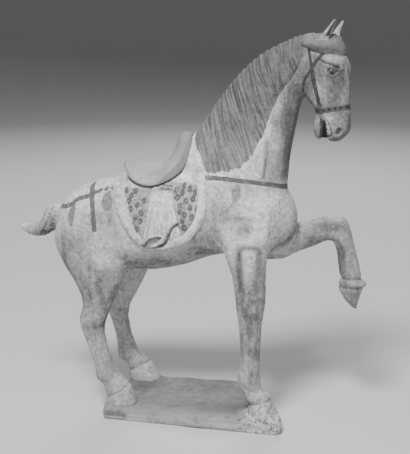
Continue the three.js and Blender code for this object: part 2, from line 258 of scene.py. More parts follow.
# %% Lifting a piece off the skin
def open_faces(piece, chosen):
    """Edit mode, with those faces selected whose middles are chosen."""
    choose(piece)
    bpy.context.tool_settings.mesh_select_mode = (False, False, True)
    open_up("DESELECT")
    close_up()
    piece.data.polygons.foreach_set("select", chosen(figure(face_middles_of(piece))))
    bpy.ops.object.mode_set(mode="EDIT")


def lift_off(name, beyond):
    """beyond(spots) is above zero where the piece ends."""
    choose(horse)
    bpy.ops.object.duplicate()
    piece = bpy.context.object
    piece.name = piece.data.name = name
    open_faces(piece, lambda spots: beyond(spots) > 0)
    bpy.ops.mesh.delete(type="FACE")
    bpy.ops.mesh.select_all(action="SELECT")
    bpy.ops.mesh.subdivide(number_cuts=1)
    close_up()
    return piece


def rim_of(piece):
    """Which corners lie on the open rim, where an edge has only one face."""
    loops = table(piece.data.loops, "edge_index", 1, np.int32)[:, 0]
    faces = np.bincount(loops, minlength=len(piece.data.edges))
    rim = np.zeros(len(piece.data.vertices), bool)
    rim[edges_of(piece)[faces == 1].ravel()] = True
    return rim


def true_rim(piece, beyond):
    """Sets the rim on the outline, seen from the side, and evens the net out beside it."""
    points, edges, rim = corners_of(piece), edges_of(piece), rim_of(piece)
    for _ in range(3):
        spots = figure(points[rim])
        here, step = beyond(spots), 0.5
        slope = np.stack([beyond(spots + (step, 0, 0)) - beyond(spots - (step, 0, 0)), 0 * here,
                          beyond(spots + (0, 0, step)) - beyond(spots - (0, 0, step))], 1) / (2 * step)
        slope /= np.linalg.norm(slope, axis=1).clip(0.5)[:, None]
        points[rim] -= (here.clip(-3, 3)[:, None] * slope) * MM
        held = points[rim].copy()
        points = spread(points, edges, 2, 0.5)
        points[rim] = held
    move_corners(piece, points)


# %% [markdown]
# Both pieces are lifted off the same skin. The cloth runs a little way under the mane, so its end sinks
# there.

# %% The two raised pieces
def beyond_mane(spots):
    return outside(side_view(spots), mane_edge)


def beyond_cloth(spots):
    return np.maximum(outside(side_view(spots), CLOTH), -beyond_mane(spots) - 3.5)


mane = lift_off("mane", beyond_mane)
true_rim(mane, beyond_mane)
cloth = lift_off("saddle_cloth", beyond_cloth)
true_rim(cloth, beyond_cloth)
points = corners_of(cloth)
under_mane = 1.7 * ease(-beyond_mane(figure(points)), -0.6, 1.2)
move_corners(cloth, points - facings_of(cloth) * under_mane[:, None] * MM)
for piece in (mane, cloth):
    print(piece.name, len(piece.data.polygons), "faces,", int(rim_of(piece).sum()), "corners on its rim")

# %% [markdown]
# Below the two pieces the skin sinks a little, so that no groove cut into them reaches it.

# %% Room below the raised pieces
points, facings = corners_of(horse), facings_of(horse)
deep = 2.6 * ease(-np.minimum(from_cloth, from_mane), 0.6, 3.0) * ease(-figure(points)[:, 0], -116, -106)
move_corners(horse, points - facings * deep[:, None] * MM)

# %% [markdown]
# Head and tail carry the finest carving, so their net is cut finer. The rest of the skin can stay as it is.

# %% Cutting head and tail finer
def finer(piece, chosen):
    """Subdivides the faces whose middles are chosen, and softens the new net."""
    open_faces(piece, chosen)
    bpy.ops.mesh.subdivide(number_cuts=1)
    close_up()
    points = corners_of(piece)
    share = 0.4 * chosen(figure(points))[:, None]
    move_corners(piece, spread(points, edges_of(piece), 3, share))


def head_or_tail(spots):
    return (spots[:, 0] > 112) & (spots[:, 2] > 314) | (spots[:, 0] < -172)


finer(horse, head_or_tail)
print("skin with the finer head and tail:", len(horse.data.polygons), "faces")

# %% [markdown]
# ## Carving
# A groove is a dip that fades with the distance from its line, and a ridge is the same upwards. Every cut
# is remembered, because dirt and worn paint gather in it later, and painted shade darkens it.

# %% Grooves and ridges
def ridge(distance, height, width):
    return height * np.exp(-(distance / width) ** 2)


def cut(distance, depth, width):
    return -ridge(distance, depth, width)


def carve(piece, heights):
    """Moves every corner out along its facing by so many millimetres, and remembers how deep it was cut."""
    points = corners_of(piece)
    move_corners(piece, points + facings_of(piece) * heights[:, None] * MM)
    remember(piece, "cut", np.clip(-heights, 0, 3))


def remember(piece, name, values):
    guide = piece.data.attributes.get(name)
    if guide is None:
        kind = "FLOAT_VECTOR" if values.ndim == 2 else "FLOAT"
        guide = piece.data.attributes.new(name, kind, "POINT")
    guide.data.foreach_set("vector" if values.ndim == 2 else "value", values.astype(np.float32).ravel())


# %% [markdown]
# ### The mane
# The combed mane is a row of locks, each a soft roll from the crest down the neck, with a sharp groove on
# either side and a finer one along its back. To draw them, every spot is told which hoop of the mane it
# lies on.

# %% Finding the way on the mane
LOCKS = 26  # as many as the solid has


def on_mane(spots):
    """Counts locks along the crest, and goes from 0 at the crest to 1 at the feet of the mane."""
    flat = side_view(spots)
    lock, before = np.where(flat[:, 0] < 30, 0.0, len(crowns) - 1.0), None
    for i, (crown, foot) in enumerate(zip(crowns, feet)):
        down = foot - crown
        off = (down[0] * (flat[:, 1] - crown[1]) - down[1] * (flat[:, 0] - crown[0])) / np.hypot(*down)
        if before is not None:
            here = before * off <= 0
            lock[here] = i - 1 + (before / (before - off + 1e-9))[here].clip(0, 1)
        before = off
    row = np.stack([np.interp(lock, range(len(crowns)), column) for column in (*crowns.T, *feet.T)], 1)
    down = row[:, 2:] - row[:, :2]
    fall = ((flat - row[:, :2]) * down).sum(1) / (down ** 2).sum(1)
    return lock / (len(crowns) - 1) * LOCKS, fall


def comb(lock, fall):
    """The locks sway a little as they fall."""
    sway = 0.2 * np.sin(0.9 * lock + 4.4 * fall) + 0.12 * np.sin(2.3 * lock - 7 * fall)
    return lock + sway * (0.35 + 0.65 * ease(fall, 0, 0.35))


# %% [markdown]
# Each lock swells between its grooves, which are deepest at the crest, and a finer strand runs along it.

# %% Locks of the mane
spots = figure(corners_of(mane))
dives = 1.2 * ease(spots[:, 0], 108, 119)  # towards the forelock the mane runs out in the skin
move_corners(mane, corners_of(mane) - facings_of(mane) * dives[:, None] * MM)
lock, fall = on_mane(spots)
swayed = comb(lock, fall)
roll = np.abs(np.sin(np.pi * swayed)) ** 0.7
strand = np.abs(np.sin(2 * np.pi * swayed + 0.9 * np.sin(3 * lock + 2 * fall))) ** 0.8
deepness = (0.55 + 0.35 * np.sin(1.3 * lock + 3 * fall) ** 2) * (1 - 0.35 * ease(fall, 0.9, 1.02))
deepness += 0.5 * ease(-fall, -0.12, 0.02)
flatter = 1 - 0.6 * ease(spots[:, 0], 98, 112)
rim_cut = cut(beyond_mane(spots), 0.9, 0.9) * ease(-spots[:, 0], -110, -100)
carve(mane, deepness * (roll - 0.8) * flatter + 0.42 * (strand - 0.6) + rim_cut)
print("locks counted along the mane:", round(float(lock.max()), 1))

# %% [markdown]
# ### The saddle cloth
# The cloth was pressed in relief: a rolled border, a field with painted rings, and a plain apron that hangs
# in folds from below the saddle. Its lower corners are turned up, and one edge curls into an S.

# %% Border, apron and creases of the cloth
BORDER = 9.0


def border_width(flat):
    """The border is broader at the rear."""
    return BORDER + 4.5 * ease(-flat[:, 0], 45, 85) * ease(flat[:, 1], 205, 240)


APRON = bow([
    [-52, 256], [-40, 258], [-27, 258], [-21, 243], [-15.5, 226], [-21, 218], [-27, 205], [-36, 197],
    [-47, 193], [-56, 195], [-55, 208], [-52, 232]], closed=True)
HOLLOW = bow([
    [-54.1, 197], [-50.1, 203.4], [-43.1, 208], [-33.8, 208.6], [-38.6, 202], [-47.2, 197.6]], closed=True)
CURL = bow([[-15.5, 224], [-20.8, 220.3], [-24.3, 214.4], [-26.6, 208.5], [-29.8, 202.9], [-35.9, 198]])
FLAP = bow([
    [-17.5, 222.5], [-14, 217], [-13, 210], [-17, 204.5], [-23, 205.5], [-24, 212], [-21, 218]], closed=True)
# painted shade along the curl, round the hollow and under the rolled lower edge, then two strokes above the
# apron
CREASES = (  # dark lines of the cloth, and half their width
    (CURL, 1.3), (bow([[-53, 199.5], [-49.5, 204.5], [-43, 208.3], [-33.5, 208.8]]), 1.2),
    (bow([[-56.5, 198.8], [-52, 196.7], [-42, 196.9], [-35, 198.4], [-29, 202]]), 1.8),
    (bow([[-54, 262], [-47, 263.6], [-40, 264.6], [-27, 263.6]]), 0.7),
    (bow([[-39, 259.4], [-32, 260.6], [-25, 260.4]]), 0.8))

# %% Relief of the cloth
def cloth_relief(spots):
    flat = side_view(spots)
    x, z = flat.T
    edge, apron, width = outside(flat, CLOTH), outside(flat, APRON), border_width(flat)
    roll = np.sin(np.pi * np.clip(-edge / width, 0, 1)) + cut(edge + width + 0.3, 0.7, 0.9)
    roll *= ease(-z, -276, -262)
    flap = outside(flat, FLAP)
    flap = 1.3 * ease(-flap, -0.6, 1.2) - 0.8 * ease(-flap, 1.6, 4.5)
    fan = np.arctan2(x + 39, 292 - z)  # the apron's folds fan out from below the saddle
    folds = np.abs(np.sin(np.pi * (fan + 0.14) / 0.145)) ** 0.7 - 0.6
    folds *= 0.8 + 1.3 * ease(-z, -254, -222)
    curl, hollow = away(flat, CURL), outside(flat, HOLLOW)
    folds = (folds + ridge(curl - 4, 1.3, 1.3)) * ease(hollow, -0.5, 1.5)
    folds += ridge(hollow - 1.4, 1.3, 1.0) - 1.7 * ease(-hollow, -0.2, 1.4)
    in_apron = ease(-apron, -0.4, 0.8)
    height = (1 - in_apron) * (roll + flap) + in_apron * folds
    return height + cut(apron, 1.2, 0.8) + cut(edge, 0.9, 0.8) + cut(curl, 1.9, 1.9)


carve(cloth, cloth_relief(figure(corners_of(cloth))))

# %% [markdown]
# ### The head
# The head is turned a little to its right. Swung straight, its two sides mirror each other, and one drawing
# does.

# %% Swinging the head straight and back
NAPE = 118.0  # the head turns on an upright axis through the nape, this far ahead of the origin
HEAD_TURN = np.radians(9)


def faced_ahead(spots):
    """Where each spot of the turned head lies on a head that looks straight ahead."""
    ahead, side, up = (spots - (NAPE, 0, 0)).T
    turn, slip = np.cos(HEAD_TURN), np.sin(HEAD_TURN)
    return np.stack([NAPE + ahead * turn - side * slip, ahead * slip + side * turn, up], 1)


def turned(facing):
    """The way back, from the straight head to the turned one."""
    ahead, side, up = (facing - (NAPE, 0, 0)).T
    turn, slip = np.cos(HEAD_TURN), np.sin(HEAD_TURN)
    return np.stack([NAPE + ahead * turn + side * slip, side * turn - ahead * slip, up], 1)


# %% [markdown]
# Lids, nostril, lips and the leaf-shaped forelock were sharpened with a tool after moulding. The bridle is
# only painted, so it isn't raised.

# %% Eyes, nostrils, mouth and forelock
EYE = np.array([151.7, 395.2])
UPPER_LID = EYE + bow([[-4.6, -0.6], [-4.2, 1.8], [-2.6, 3.3], [0, 3.9], [2.8, 2.8], [4.8, 1.0], [6, -1]])
LOWER_LID = EYE + bow([[-4.6, -0.6], [-4.1, -2.6], [-2.2, -4.3], [0.5, -4.7], [3.4, -3.5], [6, -1]])
LID_FOLD = EYE + bow([[-12.8, 10.6], [-7, 8.1], [-1.8, 6.5], [2.4, 5.2], [6.4, 3.2]])
FACE_BONE = bow([[146, 386], [150, 380], [154, 371], [157, 361]])
NOSTRIL = bow([[158.2, 328.6], [159.4, 331.4]])
LIP = bow([[146.2, 340.7], [148.8, 334.3], [150.8, 328.5], [150.6, 324.5], [144.5, 323.3]])
TEETH = (bow([[143.2, 331.2], [149, 330]]), bow([[143, 336.6], [147.6, 336.2]]))
CHIN = bow([[137.2, 341], [137.8, 332], [137.2, 322]])
NOSE_EDGE = bow([[161, 408], [163.4, 400], [164.8, 388], [165.2, 375], [165, 362]])
GAP = bow([[138.4, 321], [138.4, 336], [140.5, 341.5], [143.6, 340], [144.4, 333], [144, 321]], closed=True)
JOWL = bow([[139, 389], [131, 379], [130, 369], [135, 360], [142, 355]])
FORELOCK = bow([
    [104, 424], [113, 422], [124.7, 419.2], [130.9, 416], [137.8, 414.6], [148.2, 413.8], [157, 413],
    [162, 412.8], [164, 417], [160, 424], [154, 430], [146, 436], [130, 439], [112, 432]], closed=True)
FORELOCK_EDGE = bow([[106, 423.8], [113, 422], [124.7, 419.2], [130.9, 416], [137.8, 414.6], [148.2, 413.8],
                     [157, 413], [165, 412.8]])
FACE_CUTS = (  # line, depth, width; a depth below zero is a ridge
    (FACE_BONE, -0.7, 2.2), (NOSE_EDGE, 0.25, 1.2), (LIP, 1.1, 0.8), (CHIN, 2.4, 1.0), (TEETH[0], 0.6, 0.6),
    (TEETH[1], 0.6, 0.6), (JOWL, 0.8, 2.4))

# %% Relief of the head
def inside_forelock(facing):
    """Millimetres inside the forelock, below zero beyond it and on the ears."""
    on_ear = np.minimum(np.abs(facing[:, 1]) - 7.5, facing[:, 2] - 430)
    leaf = np.where(facing[:, 0] > 104, -outside(side_view(facing), FORELOCK), -50)
    return np.minimum(leaf, -on_ear)


def head_relief(spots):
    facing = faced_ahead(spots)
    flat = side_view(facing)
    eye = outside(flat, np.concatenate([UPPER_LID, LOWER_LID[::-1]]))
    fold, nostril = away(flat, LID_FOLD), away(flat, NOSTRIL)
    height = ridge(eye - 0.6, 0.9, 1.1) + cut(eye + 0.9, 1.1, 0.8) + 0.9 * ease(-eye, 1.2, 3.6)
    height += cut(fold, 1.1, 1.2) + ridge(fold - 3.2, 0.9, 1.8) * (flat[:, 1] > 396)
    height += cut(nostril, 2.4, 2.2) + ridge(nostril - 4.4, 0.4, 1.6)
    for line, depth, width in FACE_CUTS:
        height += cut(away(flat, line), depth, width)
    height *= ease(np.abs(facing[:, 1]), 5, 10) * (spots[:, 2] > 316) * (spots[:, 0] > 112)
    leaf = inside_forelock(facing)
    combed = np.abs(np.sin(np.pi * away(flat, FORELOCK_EDGE) / 3.4)) ** 0.8 - 0.7
    forelock = 0.12 * combed * ease(leaf, 0.3, 1.5) + cut(leaf + 1.2, 1.1, 1.0)
    return height + forelock * (spots[:, 2] > 400) * (spots[:, 0] > 100)


# %% [markdown]
# ### Legs and tail
# The mould left soft hollows beside the sinews, a band round each hoof and, on the tail, the cord that
# binds it.

# %% Sinews, hoof bands and the tail's cord
RIGHT_LINES = (  # line, depth, width: on the horse's right side
    ([[53.3, 188], [53.3, 195.8], [58.9, 200.7], [66.6, 201.5], [75.1, 199.7], [78, 195]], 1.4, 3.0),
    ([[54.4, 192], [54.8, 170], [57, 150]], 1.5, 4.4), ([[76.6, 192], [76.3, 170], [75, 150]], 1.5, 4.6),
    ([[58, 105], [58, 81], [58.6, 54]], 0.8, 1.8), ([[74.5, 106], [74.4, 82], [73.6, 56]], 0.5, 2.2),
    ([[57, 120], [67.3, 117.6], [76, 119.4], [81, 124]], 0.5, 1.4),
    ([[57, 40.5], [65, 34.5], [72, 33]], 1.1, 1.9),
    ([[64, 15], [68.6, 16.8], [75.2, 19.9], [81, 21.1], [87.2, 22.6], [93, 23.5]], 1.5, 1.3),
    ([[-128, 92], [-121.3, 71.3], [-116.6, 53.2], [-112.8, 36]], 0.8, 2.0),
    ([[-124, 101], [-115.4, 93.3], [-109, 92]], 0.6, 1.6),
    ([[-107, 8], [-102.8, 10.4], [-95, 14.9], [-88.8, 18.6], [-80, 24.3]], 1.5, 1.3),
    ([[-118, 33], [-110, 28.5], [-103, 27]], 1.0, 1.8),
    ([[66, 21.5], [75, 25.5], [86, 28], [92, 28.5]], -1.5, 3.2),
    ([[-107, 15], [-98, 20.5], [-90, 25.5]], -1.4, 3.0), ([[-97, 172], [-90, 178], [-84, 176]], 0.9, 2.6),
    ([[24, 217], [29, 205], [38.5, 196]], 1.1, 3.0), ([[88, 246], [91, 230], [90, 213]], 0.6, 2.2),
)
LEFT_LINES = (
    ([[153.5, 198], [159.6, 190.4], [162.1, 178.3], [164.8, 166.5], [167.4, 157]], 1.0, 1.7),
    ([[155, 152], [163, 152.5], [172, 153.6], [187, 152.5]], 1.5, 1.5),
    ([[155, 143.5], [165, 142.8], [172, 142.4], [182, 142], [189, 142.5]], 1.6, 1.2),
    ([[155, 148.5], [165, 147.8], [176, 147.4], [189, 146]], -2.2, 2.5),
    ([[171.6, 141], [174.6, 129], [177.4, 117]], -1.3, 1.5),
    ([[-103, 12], [-95.8, 16.5], [-89, 20.1], [-83.3, 23.4], [-75, 26]], 1.4, 1.3),
    ([[-102, 19], [-95, 23.5], [-87, 27.5]], -1.2, 3.0), ([[-116, 31], [-108, 27.5], [-101, 27]], 1.0, 1.8),
    ([[-118.2, 84], [-114.4, 60], [-109.8, 40]], 0.8, 2.0),
    ([[-113, 108], [-107.4, 91.3], [-101, 84]], 0.6, 1.6),
)
CHEST_EDGE = bow([[112, 12, 222], [112.5, 2, 216], [112, -9, 210.5], [108, -15, 205.5], [101.5, -19, 200.5],
                  [93, -20, 195.5], [84.7, -18, 190]])  # where the raised leg leaves the chest
TAIL_CORD = bow([[-191, 209], [-195, 201.5], [-199.2, 193]])

# %% Relief of legs and tail
def tail_relief(flat):
    """Hatching ahead of the cord that binds the tail, and comb lines behind it."""
    cord, (x, z) = away(flat, TAIL_CORD), flat.T
    hatched = np.sin(1.35 * (flat @ (0.35, 0.94)) + 0.8 * np.sin(0.9 * x))
    knots = -0.8 * ease(hatched, 0.2, 0.8) * ease(np.sin(0.9 * (flat @ (0.94, -0.35))), -0.7, 0.1)
    combed = 0.6 * np.sin(1.75 * x + 0.05 * (z - 200) ** 2) * ease(-z, -202, -198)
    height = 1.4 * ease(-cord, -2.6, -1.6) + cut(cord - 3.2, 0.7, 0.9)
    return height + np.where(x < -194, combed, knots) * ease(cord, 3.0, 4.5)


def limb_relief(spots):
    flat, right = side_view(spots), spots[:, 1] < 0
    limbs, tail = (spots[:, 2] < 256) & (spots[:, 0] > -132), spots[:, 0] < -174
    height = cut(away(spots, CHEST_EDGE), 2.6, 3.4)
    for lines, on_side in ((RIGHT_LINES, right), (LEFT_LINES, ~right)):
        near = on_side & limbs
        for line, depth, width in lines:
            height[near] += cut(away(flat[near], bow(line)), depth, width)
    height[tail] += tail_relief(flat[tail])
    return height


spots = figure(corners_of(horse))
relief = head_relief(spots) + limb_relief(spots)
carve(horse, relief)
print("deepest cut in the skin:", round(float(-relief.min()), 1), "mm")

# %% [markdown]
# ### The ears
# The ears were rolled from thin clay and set on the head. They are too slender for the net of the skin, so
# each is a new piece: a disc at its root, extruded from rib to rib up to the tip, with the front ribs
# pushed in for the hollow. The root sinks into the head, and a Subdivision modifier rounds the blade.

# %% Two ears
RIGHT_EAR = [  # ahead, up, half its length, half its width, from the root to the tip
    [138.2, 420, 8.2, 6.0], [139.6, 427.5, 7.2, 6.0], [144.1, 434, 5.5, 5.4], [146.6, 438.5, 4.4, 4.8],
    [149, 442.6, 3.5, 3.8], [151.2, 446.5, 2.5, 2.6], [151.9, 449.4, 1.2, 1.1]]
LEFT_EAR = [
    [145.5, 420, 8.2, 6.0], [146.3, 428, 7.2, 6.0], [148.8, 434.2, 5.4, 5.4], [150.5, 438.5, 4.3, 4.8],
    [152.3, 442, 3.2, 3.8], [153.6, 445, 2.2, 2.4], [154.1, 447, 1.0, 1.0]]
OPENS = np.radians(24)  # how far each ear opens sideways from straight ahead


def ear(name, ribs, side):
    bpy.ops.mesh.primitive_circle_add(vertices=16, radius=MM, fill_type="NGON")
    piece = bpy.context.object
    piece.name = piece.data.name = name
    open_up()
    here, size = np.zeros(3), np.ones(2)
    for i, (ahead, up, long, wide) in enumerate(ribs):
        there = np.array([ahead, side, up])
        step, grow = tuple((there - here) * MM), (long / size[0], wide / size[1], 1)
        if i:
            bpy.ops.mesh.extrude_region_move(TRANSFORM_OT_translate={"value": step})
        else:
            bpy.ops.transform.translate(value=step)
        bpy.ops.transform.resize(value=grow, center_override=tuple(there * MM))
        here, size = there, np.array([long, wide])
    bpy.ops.mesh.select_all(action="SELECT")
    bpy.ops.mesh.normals_make_consistent(inside=False)
    close_up()
    points = corners_of(piece) / MM
    pressed = np.zeros(len(points))
    for ahead, up, long, wide in ribs[1:-1]:
        rib = np.abs(points[:, 2] - up) < 0.1
        way = np.arctan2((points[:, 1] - side) / wide, (points[:, 0] - ahead) / long) - np.sign(side) * OPENS
        inner = rib & (np.abs(way) < np.radians(50)) & (up > 430)
        points[inner, 0] = ahead + 0.3 * (points[inner, 0] - ahead) - 0.2 * long * np.cos(OPENS)
        points[inner, 1] = side + 0.3 * (points[inner, 1] - side) - 0.2 * wide * np.sin(OPENS) * np.sign(side)
        # the hollow's depth is kept as a cut, so that it is darkened as painted shade
        pressed[inner] = 2.4
    remember(piece, "cut", pressed)
    move_corners(piece, placed(turned(points)))
    finish(piece, "SUBSURF", levels=3, render_levels=3)
    bpy.ops.object.shade_smooth()
    print(name, len(piece.data.polygons), "faces")
    return piece


ears = [ear("right_ear", RIGHT_EAR, -13), ear("left_ear", LEFT_EAR, 12)]

# %% [markdown]
# The solid's own blunt ears are pressed down into the head below them.

# %% Room for the ears
points, spots = corners_of(horse), figure(corners_of(horse))
facing = faced_ahead(spots)
blunt = ease(facing[:, 2], 427, 431) * (np.abs(facing[:, 1]) > 6.5) * (facing[:, 0] > 124)
roots = np.where(facing[:, 1:2] < 0, [[140.5, -13.0, 427.0]], [[147.0, 12.0, 427.0]])
points += blunt[:, None] * (0.75, 0.75, 0.9) * (placed(turned(roots)) - points)
eased = 0.5 * ((spots[:, 2] > 424) & (facing[:, 0] > 120) & (np.abs(facing[:, 1]) > 3))[:, None]
move_corners(horse, spread(points, edges_of(horse), 20, eased))
grooves = table(horse.data.attributes["cut"].data, "value", 1)[:, 0]
grooves[eased[:, 0] > 0] = 0
grooves[spots[:, 0] < -176] *= 2.0  # dirt and painted shade darken the bound tail's grooves more
remember(horse, "cut", grooves.clip(0, 3))

# %% [markdown]
# ### The mouth
# The jaws stand apart. A block of clay between them closes the gap, so that no light falls through
# it. It is painted near-black, as the shade inside the mouth.

# %% Lining of the mouth
LINING_MIDDLE = (142, 0, 332.5)
bpy.ops.mesh.primitive_cube_add(size=MM)
lining = bpy.context.object
lining.name = lining.data.name = "mouth_lining"
open_up()
bpy.ops.transform.resize(value=(12, 6, 24))
bpy.ops.mesh.bevel(offset=2.4 * MM, segments=3)
close_up()
move_corners(lining, placed(turned(corners_of(lining) / MM + LINING_MIDDLE)))
finish(lining, "SUBSURF", levels=1, render_levels=1)
bpy.ops.object.shade_smooth()
print("mouth lining", len(lining.data.polygons), "faces")

# %% [markdown]
# ## The saddle
# The saddle is one smooth, low form. Its underside is let down until it beds on the cloth, and a shallow
# groove follows its lower edge. A band along that edge and up the pommel's front is remembered for painted
# shade.

# %% The saddle's clay
SADDLE_GRAIN = 1.1 * MM
seat_edge = bow([
    [-91, 283], [-84, 274], [-72, 267.5], [-56, 265.5], [-42, 268], [-30, 275], [-18, 287], [-8, 305]])
saddle = clay_copy("saddle", "saddle_clay", SADDLE_GRAIN)
relax(saddle, 3.0, SADDLE_GRAIN, rounds=60)
points, facings = corners_of(saddle), facings_of(saddle)
under = ease(-facings[:, 2], 0.15, 0.5)
lip = away(side_view(figure(points)), seat_edge + (1.5, 3.4))
points += facings * ((0.9 * under - ridge(lip, 0.45, 0.9) * (1 - under))[:, None] * MM)
move_corners(saddle, points)
flat = side_view(figure(points))
up_the_pommel = np.concatenate([seat_edge, [[-5, 318], [-6, 332]]])
edge_shade = 4.4 + 2.5 * ease(flat[:, 1], 285, 312) - away(flat, up_the_pommel)
remember(saddle, "edge_shade", np.clip(edge_shade - 9 * ease(-flat[:, 0], 30, 60), -9, 9))

# %% [markdown]
# The cloth rises below the saddle until it nearly meets it. Rays sent straight up find out how far that is.

# %% Bedding the saddle
LOOK, JOINT, MOST = 18 * MM, 0.4 * MM, 4.2 * MM  # how far a ray looks, the free joint, the largest rise
points, edges = corners_of(cloth), edges_of(cloth)
met = np.zeros((len(points), 1))
for i in np.flatnonzero(figure(points)[:, 2] > 240):
    found, place, facing, _ = saddle.ray_cast(Vector(points[i]), Vector((0, 0, 1)), distance=LOOK)
    if found and facing[2] < 0:
        met[i] = np.clip(place[2] - points[i, 2] - JOINT, 0, MOST) * ease(points[i, 0] / MM, -88, -78)
raised = met
for _ in range(12):
    raised = np.maximum(met, spread(raised, edges, 4, 0.5))
raised = spread(raised, edges, 10, 0.5)
move_corners(cloth, points + raised * (0, 0, 1))
print("the cloth rises by up to", round(float(met.max() / MM), 1), "mm to bed the saddle")

# %% [markdown]
# ## The slab
# The slab was patted out by hand: its top is a little hollow, its edges are slumped and uneven, and it
# swells where the hooves are luted to it. Its underside stays flat, because the whole figure stands on it.

# %% A hand-patted slab
SLAB_GRAIN = 1.5 * MM
soles = figure(corners_of(horse))
soles = soles[soles[:, 2] < 5][::3, :2]


def beyond_hooves(flat):
    """How far each spot lies from the nearest hoof, seen from above."""
    parts = [flat[i:i + 400] for i in range(0, len(flat), 400)]
    return np.concatenate([np.linalg.norm(part[:, None] - soles[None], axis=2).min(1) for part in parts])


def hand_patted(points):
    x, y, z = (points / MM).T
    shifted, fore = points.copy(), ease(x, 40, 70)
    luted = np.zeros(len(x))
    luted[z > 4] = beyond_hooves(np.stack([x, y], 1)[z > 4])
    wave = 0.5 * np.sin(0.047 * x + 0.6) + 0.4 * np.sin(0.081 * x - 0.06 * y + 2)
    wave += 0.25 * np.sin(0.15 * x + 0.11 * y)
    fillet = (3.2 + 4.8 * fore) * np.exp(-(luted / (5.5 + 4.5 * fore)) ** 2)
    shifted[:, 2] += ease(z, 5, 12) * (wave - 0.9 + fillet) * MM
    long_side = ease(np.abs(y), 40, 58) * ease(z, 0.3, 4)
    bulge = 1.3 * np.sin(0.045 * x + 1) + 0.7 * np.sin(0.13 * x + 0.09 * y)
    shifted[:, 1] += np.sign(y) * long_side * (bulge - 0.8) * MM
    short_side = ease(np.abs(x), 84, 100) * ease(z, 0.3, 4)
    shifted[:, 0] += np.sign(x) * short_side * (1.0 * np.sin(0.1 * y) - 0.7) * MM
    knife_mark = ridge(x + 92, 1.8, 15) * ease(-y, 44, 54) * ease(z, 2, 8)  # at the near hind corner
    shifted[:, 1] += knife_mark * MM
    shifted[:, 2] = np.where(z < 0.9, 0, shifted[:, 2])
    return shifted


slab = clay_copy("plinth", "slab", SLAB_GRAIN)
relax(slab, 5.0, SLAB_GRAIN, rounds=60)
move_corners(slab, hand_patted(corners_of(slab)))
shade = np.zeros(len(slab.data.vertices))
DUSKY = ((50, -25, 12, 0.8), (-76, 18, 15, 0.6), (-60, -18, 12, 0.25))  # beside the hooves
for ahead, left, wide, much in DUSKY:
    gap = corners_of(slab)[:, :2] / MM - (ahead, left)
    shade += much * np.exp(-(gap ** 2).sum(1) / wide ** 2)
remember(slab, "shade", shade)
print("slab", len(slab.data.polygons), "faces")

# %% [markdown]
# ## Where the paint goes
# Straps, pendants, rings, hair and the pupil were painted with a brush, so they leave no relief. First
# their lines and outlines are drawn, seen from the side and with the head swung straight.

# %% Painted straps and pendants
RUMP_STRAP = bow([[-126.5, 257], [-122.2, 248], [-118, 234.2], [-115.2, 219], [-114.6, 212.5]])
CRUPPER = bow([[-90.9, 258.4], [-101.3, 257.2], [-114.5, 253.6], [-127.4, 247.5], [-140.2, 243.1],
               [-150.2, 235.6], [-164, 231.6]])
BREAST_STRAP = bow([[14, 277], [22.3, 276.9], [36, 276.4], [52.8, 274.9], [68.9, 272.8], [84.4, 269.8],
                    [96.6, 265.4], [106, 260]])
BRIDLE = (  # line, half its width
    (bow([[140, 412.5], [133, 403.2], [129.9, 397.9]]), 2.0),
    (bow([[124.9, 417], [126.9, 408.3], [129.9, 397.9]]), 1.8),
    (bow([[129.9, 397], [131.6, 385.1], [133.9, 374.4], [136.4, 363.5], [138.5, 350]]), 2.3),
    (bow([[129.9, 397], [122, 385.8], [120.1, 380.2], [119.3, 373]]), 1.8),
    (bow([[132, 349.6], [137.6, 350.6], [144.7, 352.3], [154.5, 354], [166.9, 356], [175, 356.6]]), 2.9))
LEAVES = [bow(leaf, closed=True) for leaf in (
    [[-102.6, 254.6], [-107.4, 248], [-108.6, 241.5], [-105, 236], [-100.5, 233.5], [-96, 237], [-96, 246]],
    [[-142.5, 239.5], [-147.5, 233], [-149, 225], [-146.5, 217.5], [-143.5, 212], [-141, 222], [-140, 230]],
    [[50.5, 272], [45.5, 267.5], [43.6, 260], [45.5, 253.5], [48.5, 250], [53, 256], [53.4, 265]])]
TASSEL = bow([[46.5, 252], [43, 246], [39.5, 241.5]])
BUCKLES = np.array([
    [133.5, 350.4], [141.5, 351.8], [148.3, 353.2], [154.6, 354.4], [160.4, 355.2], [166, 356]])

# %% Painted hair, rings and lines
HAIR = bow([
    [13, 284], [17.8, 281.2], [23.4, 281.4], [29.1, 283.9], [34.7, 283.6], [41.4, 284.3], [47.9, 287.2],
    [53.3, 289.5], [58.5, 294.5], [63.7, 300], [67.6, 308.6], [70.6, 316.2], [74.6, 322.7], [78, 333],
    [82, 345], [86.5, 356.4], [92.6, 369.4], [100.9, 381.2], [106, 386.6], [110, 395.1], [113, 402.6],
    [115.7, 408.9], [121, 418]], steps=3)
hair_edge = np.concatenate([HAIR, [[132, 450], [100, 446], [60, 424], [20, 382], [-14, 336], [13, 284]]])
RINGS = np.array([
    [-81.1, 256.2], [-74.3, 250.9], [-75.5, 245.9], [-65.4, 242.2], [-72.3, 237.9], [-59.2, 234.4],
    [-65.1, 229.4], [-59.6, 225.3], [-62.2, 216.8], [-57.9, 246.7], [-69.6, 256.5], [-11.9, 265.5],
    [-4.3, 263.0], [-20.2, 260.3], [-12.5, 258.3], [2.2, 259.4], [-17.8, 253.3], [0.8, 253.2], [-7.1, 250.6],
    [-14.1, 245.5], [-2.0, 243.4], [6.5, 241.9], [-13.3, 238.4], [-8.0, 235.4], [0.7, 233.1], [-10.5, 228.2],
    [1.7, 225.1], [-7.8, 220.8]])
# the chin and nostril lines are painted shade at the mouth's gap and in the nostril; the others are drawn
# lines
FACE_LINES = (  # line, half its width
    (LID_FOLD, 0.6), (LID_FOLD[-8:], 1.3), (UPPER_LID[:-6], 0.4), (LIP, 0.6), (TEETH[0], 0.4),
    (TEETH[1], 0.35), (CHIN, 1.2), (NOSTRIL, 2.0), (NOSE_EDGE, -0.1))
